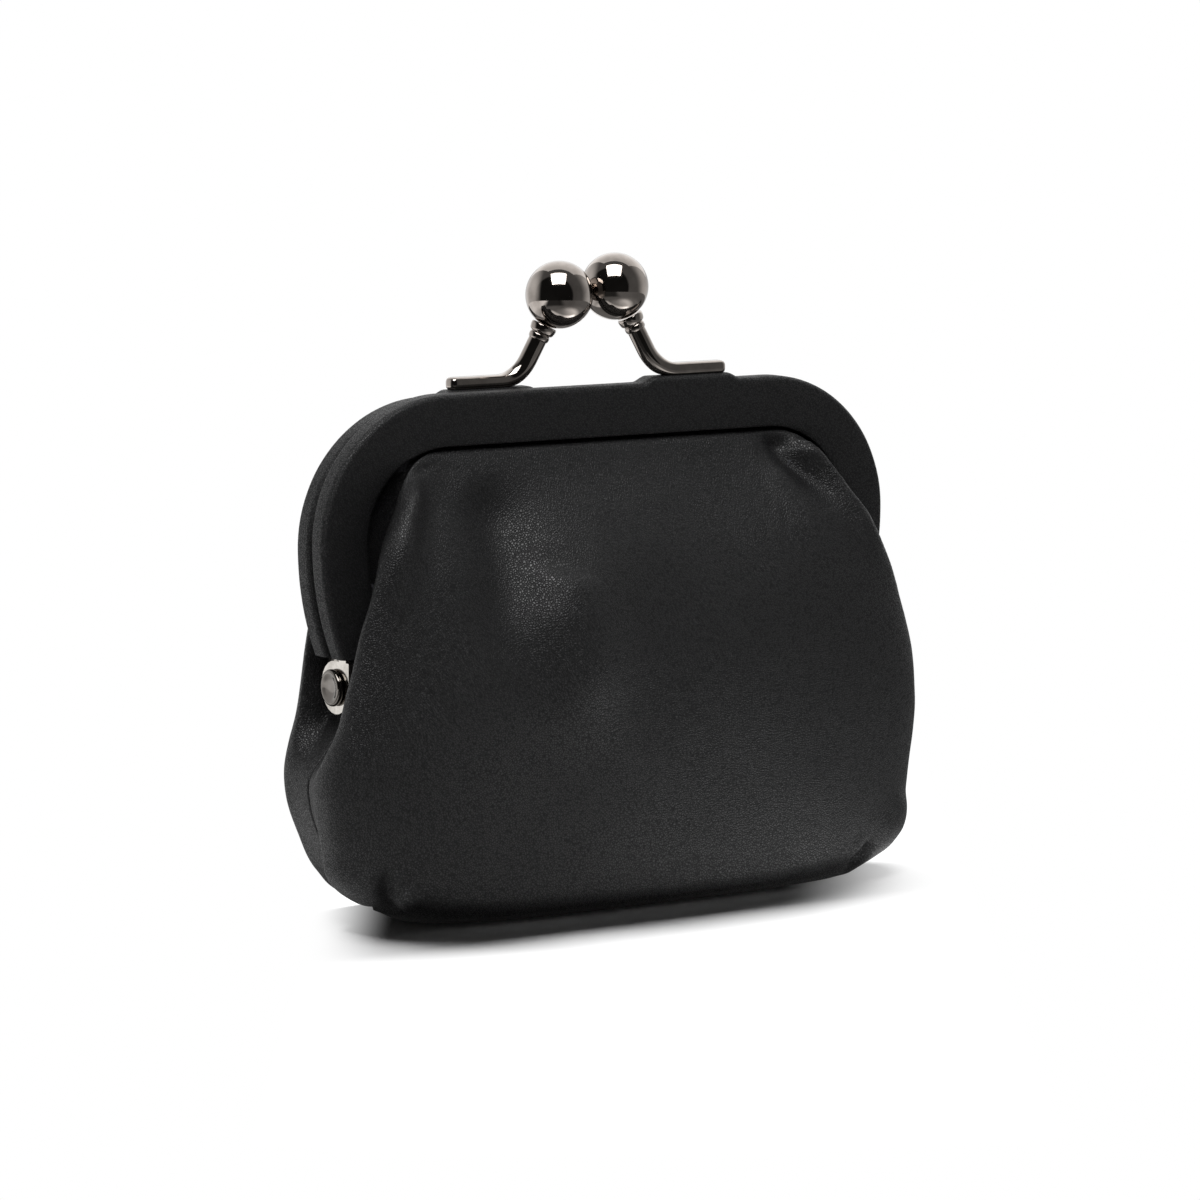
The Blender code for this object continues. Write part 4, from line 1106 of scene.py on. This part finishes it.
def station_place(station, inset, top):
    """x and z at a station, moved inwards by an inset."""
    mirror, kind, value = station
    centre_z = top - CORNER_RADIUS
    if kind == "leg":
        height = LEG_END + (centre_z - LEG_END) * value
        return mirror * float(outline_x(height, inset, top)), height
    if kind == "corner":
        reach = CORNER_RADIUS - inset
        return mirror * (CORNER_X + reach * math.cos(value)), centre_z + reach * math.sin(value)
    return CORNER_X * value, top - inset


def cover_section():
    """Points (inset, depth) round the wrap, outside first and then inside."""
    near, far, mouth = PARTING_GAP / 2, FACE_DEPTH, BAND_HEIGHT
    lip = [LIP * math.sin(drop / LIP_DROPS[-1] * math.pi / 2) for drop in LIP_DROPS]
    wrap = [(mouth - drop, far - LIP + rise) for drop, rise in zip(LIP_DROPS, lip)]
    wrap += [(inset, far + CROWN * math.sin(math.pi * inset / mouth)) for inset in CROWN_INSETS]
    turns = [math.pi / 2 * index / EDGE_STEPS for index in range(EDGE_STEPS + 1)]
    bend = [(EDGE_ROUNDING * (1 - math.sin(a)), EDGE_ROUNDING * (1 - math.cos(a))) for a in turns]
    wrap += [(rise, far - drop) for rise, drop in bend]
    wrap += [(drop, near + rise) for rise, drop in bend]
    wrap += [(PARTING_POINT, near), (mouth, near)]
    near, far = near + COVER_THICKNESS, far - COVER_THICKNESS
    return wrap + [(mouth, near), (COVER_THICKNESS, near), (COVER_THICKNESS, far), (mouth, far)]


def pad_lift(x, side):
    """How far the cover rises under the clasp's foot at x."""
    reach = (x - CLASP_X) * -side
    rise = smooth((reach - FOOT_START + PAD_LEAD + PAD_RAMP) / PAD_RAMP)
    return PAD_RISE * float(rise * smooth((FOOT_REACH + PAD_RAMP - reach) / PAD_RAMP))


def ring_faces(rings, sides, closed_ends=True):
    """Faces of a tube of rings whose points are numbered ring by ring."""
    faces = []
    for ring in range(rings - 1):
        for index in range(sides):
            after = (index + 1) % sides
            low, high = ring * sides, (ring + 1) * sides
            faces.append((low + index, low + after, high + after, high + index))
    if closed_ends:
        faces.append(tuple(range(sides)))
        faces.append(tuple((rings - 1) * sides + index for index in range(sides)))
    return faces


def frame_cover(half, side, top):
    """Leather wrap of one frame half."""
    section = cover_section()
    rings = []
    for station in outline_stations():
        for inset, depth in section:
            x, z = station_place(station, inset, top)
            if inset <= EDGE_ROUNDING and station[1] == "top":
                z += pad_lift(x, side)
            spot = Vector((x / UNEVEN_SIZE, depth / UNEVEN_SIZE, z / UNEVEN_SIZE + side))
            uneven = UNEVENNESS * noise.noise(spot)
            rings.append((x, depth + (uneven if depth > UNEVEN_FROM else 0.0), z))
    faces = ring_faces(len(rings) // len(section), len(section))
    places = part_place(np.array(rings), side)
    return piece_from(half + "_cover", places, faces, cover_leather, crease=60.0)


for half, side, top in HALVES:
    cover = frame_cover(half, side, top)
    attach(cover, half + "_frame")
    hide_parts(half + "_frame_cover")
    print(cover.name, "has", len(cover.data.vertices), "points")

# %% [markdown]
# ## Ball clasp
# Each half carries a flat foot bar let into the leather, which bends up into a round stem with a
# stepped collar and a ball. The bar and stem are one bent rod, so they are one mesh: rings along a
# path, flat along the foot and turning round where it bends. The collar and the ball are turned on
# a lathe, which in code is a profile spun round its axis.

# %% Build the foot bars and stems
FOOT_HALF_WIDTH, FOOT_HALF_THICKNESS, FOOT_SQUARENESS = 1.25, 1.0, 0.62
BEND_RADIUS, BEND_STEPS, BEND_LENGTH_SHARE, ROUNDING_SHARE = 3.4, 18, 1.6, 1.6
COLLAR_LENGTH, STEM_GAP = 1.6, 0.2
STEM_SHARES = (0.34, 0.67, 1.0)
ARM_SIDES = 28
# share of the way from the foot's end to the bend, and how thick the bar is there
FOOT_ENDS = (
    (0, 0.35), (0.012, 0.66), (0.035, 0.86), (0.07, 0.97), (0.11, 1), (0.3, 1), (0.5, 1),
    (0.7, 1), (0.85, 1), (1, 1),
)


def clasp_place(point, side, top):
    """Place in metres of a point given from the clasp's middle, its depth and its frame's top."""
    x, depth, height = point
    return Vector((CLASP_X - side * x, PARTING_Y + side * depth, top + height)) * MM


def arm_path():
    """Points from the outer end of the foot to the collar, each with how round the rod is there."""
    centre = Vector((BALL_SPACING / 2, -BALL_CROSSING / 2, BALL_HEIGHT))
    corner = Vector((FOOT_START, PARTING_GAP / 2 + BAND_DEPTH / 2, FOOT_HEIGHT))
    up_stem = (centre - corner).normalized()
    bend = BEND_RADIUS * math.tan((math.pi / 2 - STEM_LEAN) / 2) * BEND_LENGTH_SHARE
    bend_out, bend_in = corner + Vector((bend, 0.0, 0.0)), corner + up_stem * bend
    foot_end = Vector((FOOT_REACH, corner.y, corner.z))
    path = [(foot_end.lerp(bend_out, share), 0.0, end) for share, end in FOOT_ENDS]
    for index in range(1, BEND_STEPS + 1):
        share = index / BEND_STEPS
        rest = 1 - share
        point = bend_out * rest ** 2 + corner * 2 * share * rest + bend_in * share ** 2
        path.append((point, float(smooth(share * ROUNDING_SHARE)), 1.0))
    stem_end = centre - up_stem * (BALL_RADIUS + COLLAR_LENGTH + STEM_GAP)
    path += [(bend_in.lerp(stem_end, share), 1.0, 1.0) for share in STEM_SHARES]
    return path, centre, stem_end


def arm_rings(path, side, top):
    """Places of the rings round the path: a rounded bar that turns into a round rod."""
    places = []
    for index, (point, roundness, scale) in enumerate(path):
        before, after = path[max(index - 1, 0)][0], path[min(index + 1, len(path) - 1)][0]
        along = (after - before).normalized()
        across = Vector((0.0, 1.0, 0.0))
        across = (across - along * across.dot(along)).normalized()
        rise = along.cross(across)
        half_sides = [
            (flat + (STEM_RADIUS - flat) * roundness) * scale
            for flat in (FOOT_HALF_WIDTH, FOOT_HALF_THICKNESS)
        ]
        power = FOOT_SQUARENESS + (1.0 - FOOT_SQUARENESS) * roundness
        for step in range(ARM_SIDES):
            angle = math.tau * step / ARM_SIDES
            wide, tall = (
                math.copysign(abs(value) ** power, value) * half_side
                for value, half_side in zip((math.cos(angle), math.sin(angle)), half_sides)
            )
            places.append(clasp_place(point + across * wide + rise * tall, side, top))
    return places


path, ball_centre, stem_end = arm_path()
for half, side, top in HALVES:
    places = arm_rings(path, side, top)
    faces = ring_faces(len(path), ARM_SIDES)
    arm = piece_from(half + "_arm", places, faces, black_nickel, crease=50.0)
    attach(arm, half + "_frame")
    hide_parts(half + "_clasp_arm")
    print(arm.name, "has", len(arm.data.vertices), "points")

# %% Turn the collars and the balls


def turned(name, profile, sides, origin, axis, finish, crease=40.0):
    """Piece spun from (radius, height) points in mm round an axis through an origin in metres."""
    turn = Vector(axis).to_track_quat("Z", "Y")
    places = []
    for radius, height in profile:
        for step in range(sides):
            angle = math.tau * step / sides
            spot = Vector((radius * math.cos(angle), radius * math.sin(angle), height)) * MM
            places.append(Vector(origin) + turn @ spot)
    faces = ring_faces(len(profile), sides)
    return piece_from(name, places, faces, finish, crease)


COLLAR_SIDES, BALL_SIDES, BALL_RINGS = 48, 72, 40
BALL_PROFILE = [
    (BALL_RADIUS * math.cos(angle), BALL_RADIUS * math.sin(angle))
    for angle in (math.pi * (ring / BALL_RINGS - 0.5) for ring in range(1, BALL_RINGS))
]
# radius and height from the ball's middle
COLLAR_PROFILE = (
    (0.5, -7.35), (1.2, -7.35), (1.38, -7.3), (1.5, -7.16), (1.55, -6.95), (1.55, -6.6),
    (1.5, -6.42), (1.42, -6.34), (1.42, -6.28), (1.56, -6.22), (1.74, -6.1), (1.84, -5.9),
    (1.9, -5.6), (1.94, -5.3), (1.93, -5.05), (1.84, -4.9), (1.7, -4.9), (1.1, -5.08),
    (0.5, -5.18),
)
for half, side, top in HALVES:
    origin = clasp_place(ball_centre, side, top)
    axis = origin - clasp_place(stem_end, side, top)
    collar = turned(half + "_collar", COLLAR_PROFILE, COLLAR_SIDES, origin, axis, black_nickel)
    ball = turned(half + "_ball", BALL_PROFILE, BALL_SIDES, origin, axis, black_nickel, crease=None)
    for made, node in ((collar, "collar"), (ball, "ball")):
        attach(made, half + "_frame")
        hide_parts(half + "_clasp_" + node)
        print(made.name, "has", len(made.data.vertices), "points")

# %% [markdown]
# ## Hinges
# At the foot of each leg the two steel ears lie on each other and a rivet with a dished head passes
# through both. The imported model's channel already has the ears, so it stays and takes a steel
# finish, and only the rivets are turned again with a finer profile.

# %% Turn the rivets and finish the steel
RIVET_BASE, RIVET_SIDES = 42.97, 56
# radius and height from the inner face of the ears
RIVET_PROFILE = (
    (0.4, -0.6), (1.2, -0.58), (1.5, -0.5), (1.72, -0.34), (1.8, -0.15), (1.78, 0), (1, 0),
    (1, 2.5), (2.6, 2.5), (2.7, 2.58), (2.72, 2.75), (2.7, 2.95), (2.6, 3.15), (2.44, 3.27),
    (2.26, 3.3), (2.05, 3.26), (1.7, 3.12), (1.3, 3.02), (0.85, 2.97), (0.4, 2.96),
)
for word, mirror in (("left", -1), ("right", 1)):
    origin = (mirror * RIVET_BASE * MM, PARTING_Y * MM, HINGE_HEIGHT * MM)
    axis = (mirror, 0.0, 0.0)
    rivet = turned(word + "_rivet", RIVET_PROFILE, RIVET_SIDES, origin, axis, rivet_steel)
    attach(rivet, body_of(frame["nodes"][word + "_hinge_rivet"])[0])
    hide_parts(word + "_hinge_rivet")
    print(rivet.name, "has", len(rivet.data.vertices), "points")

for half in ("front", "back"):
    for node, finish in (("_frame_channel", dark_steel), ("_packing_twine", paper_twine)):
        solid = frame["nodes"][half + node]
        solid.data.materials.clear()
        solid.data.materials.append(finish)
        print(solid.name, "wears", finish.name)

# %% [markdown]
# ## Sizes
# The box round all the finished purse's shown pieces is measured and printed in millimetres. The
# finished purse has to stay within the imported model's sizes, give or take the softness of the
# leather.

# %% Measure the finished box
finished_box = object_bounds()
in_mm = [[round(1000 * value, 1) for value in corner] for corner in finished_box]
print("Finished box in mm:", in_mm)
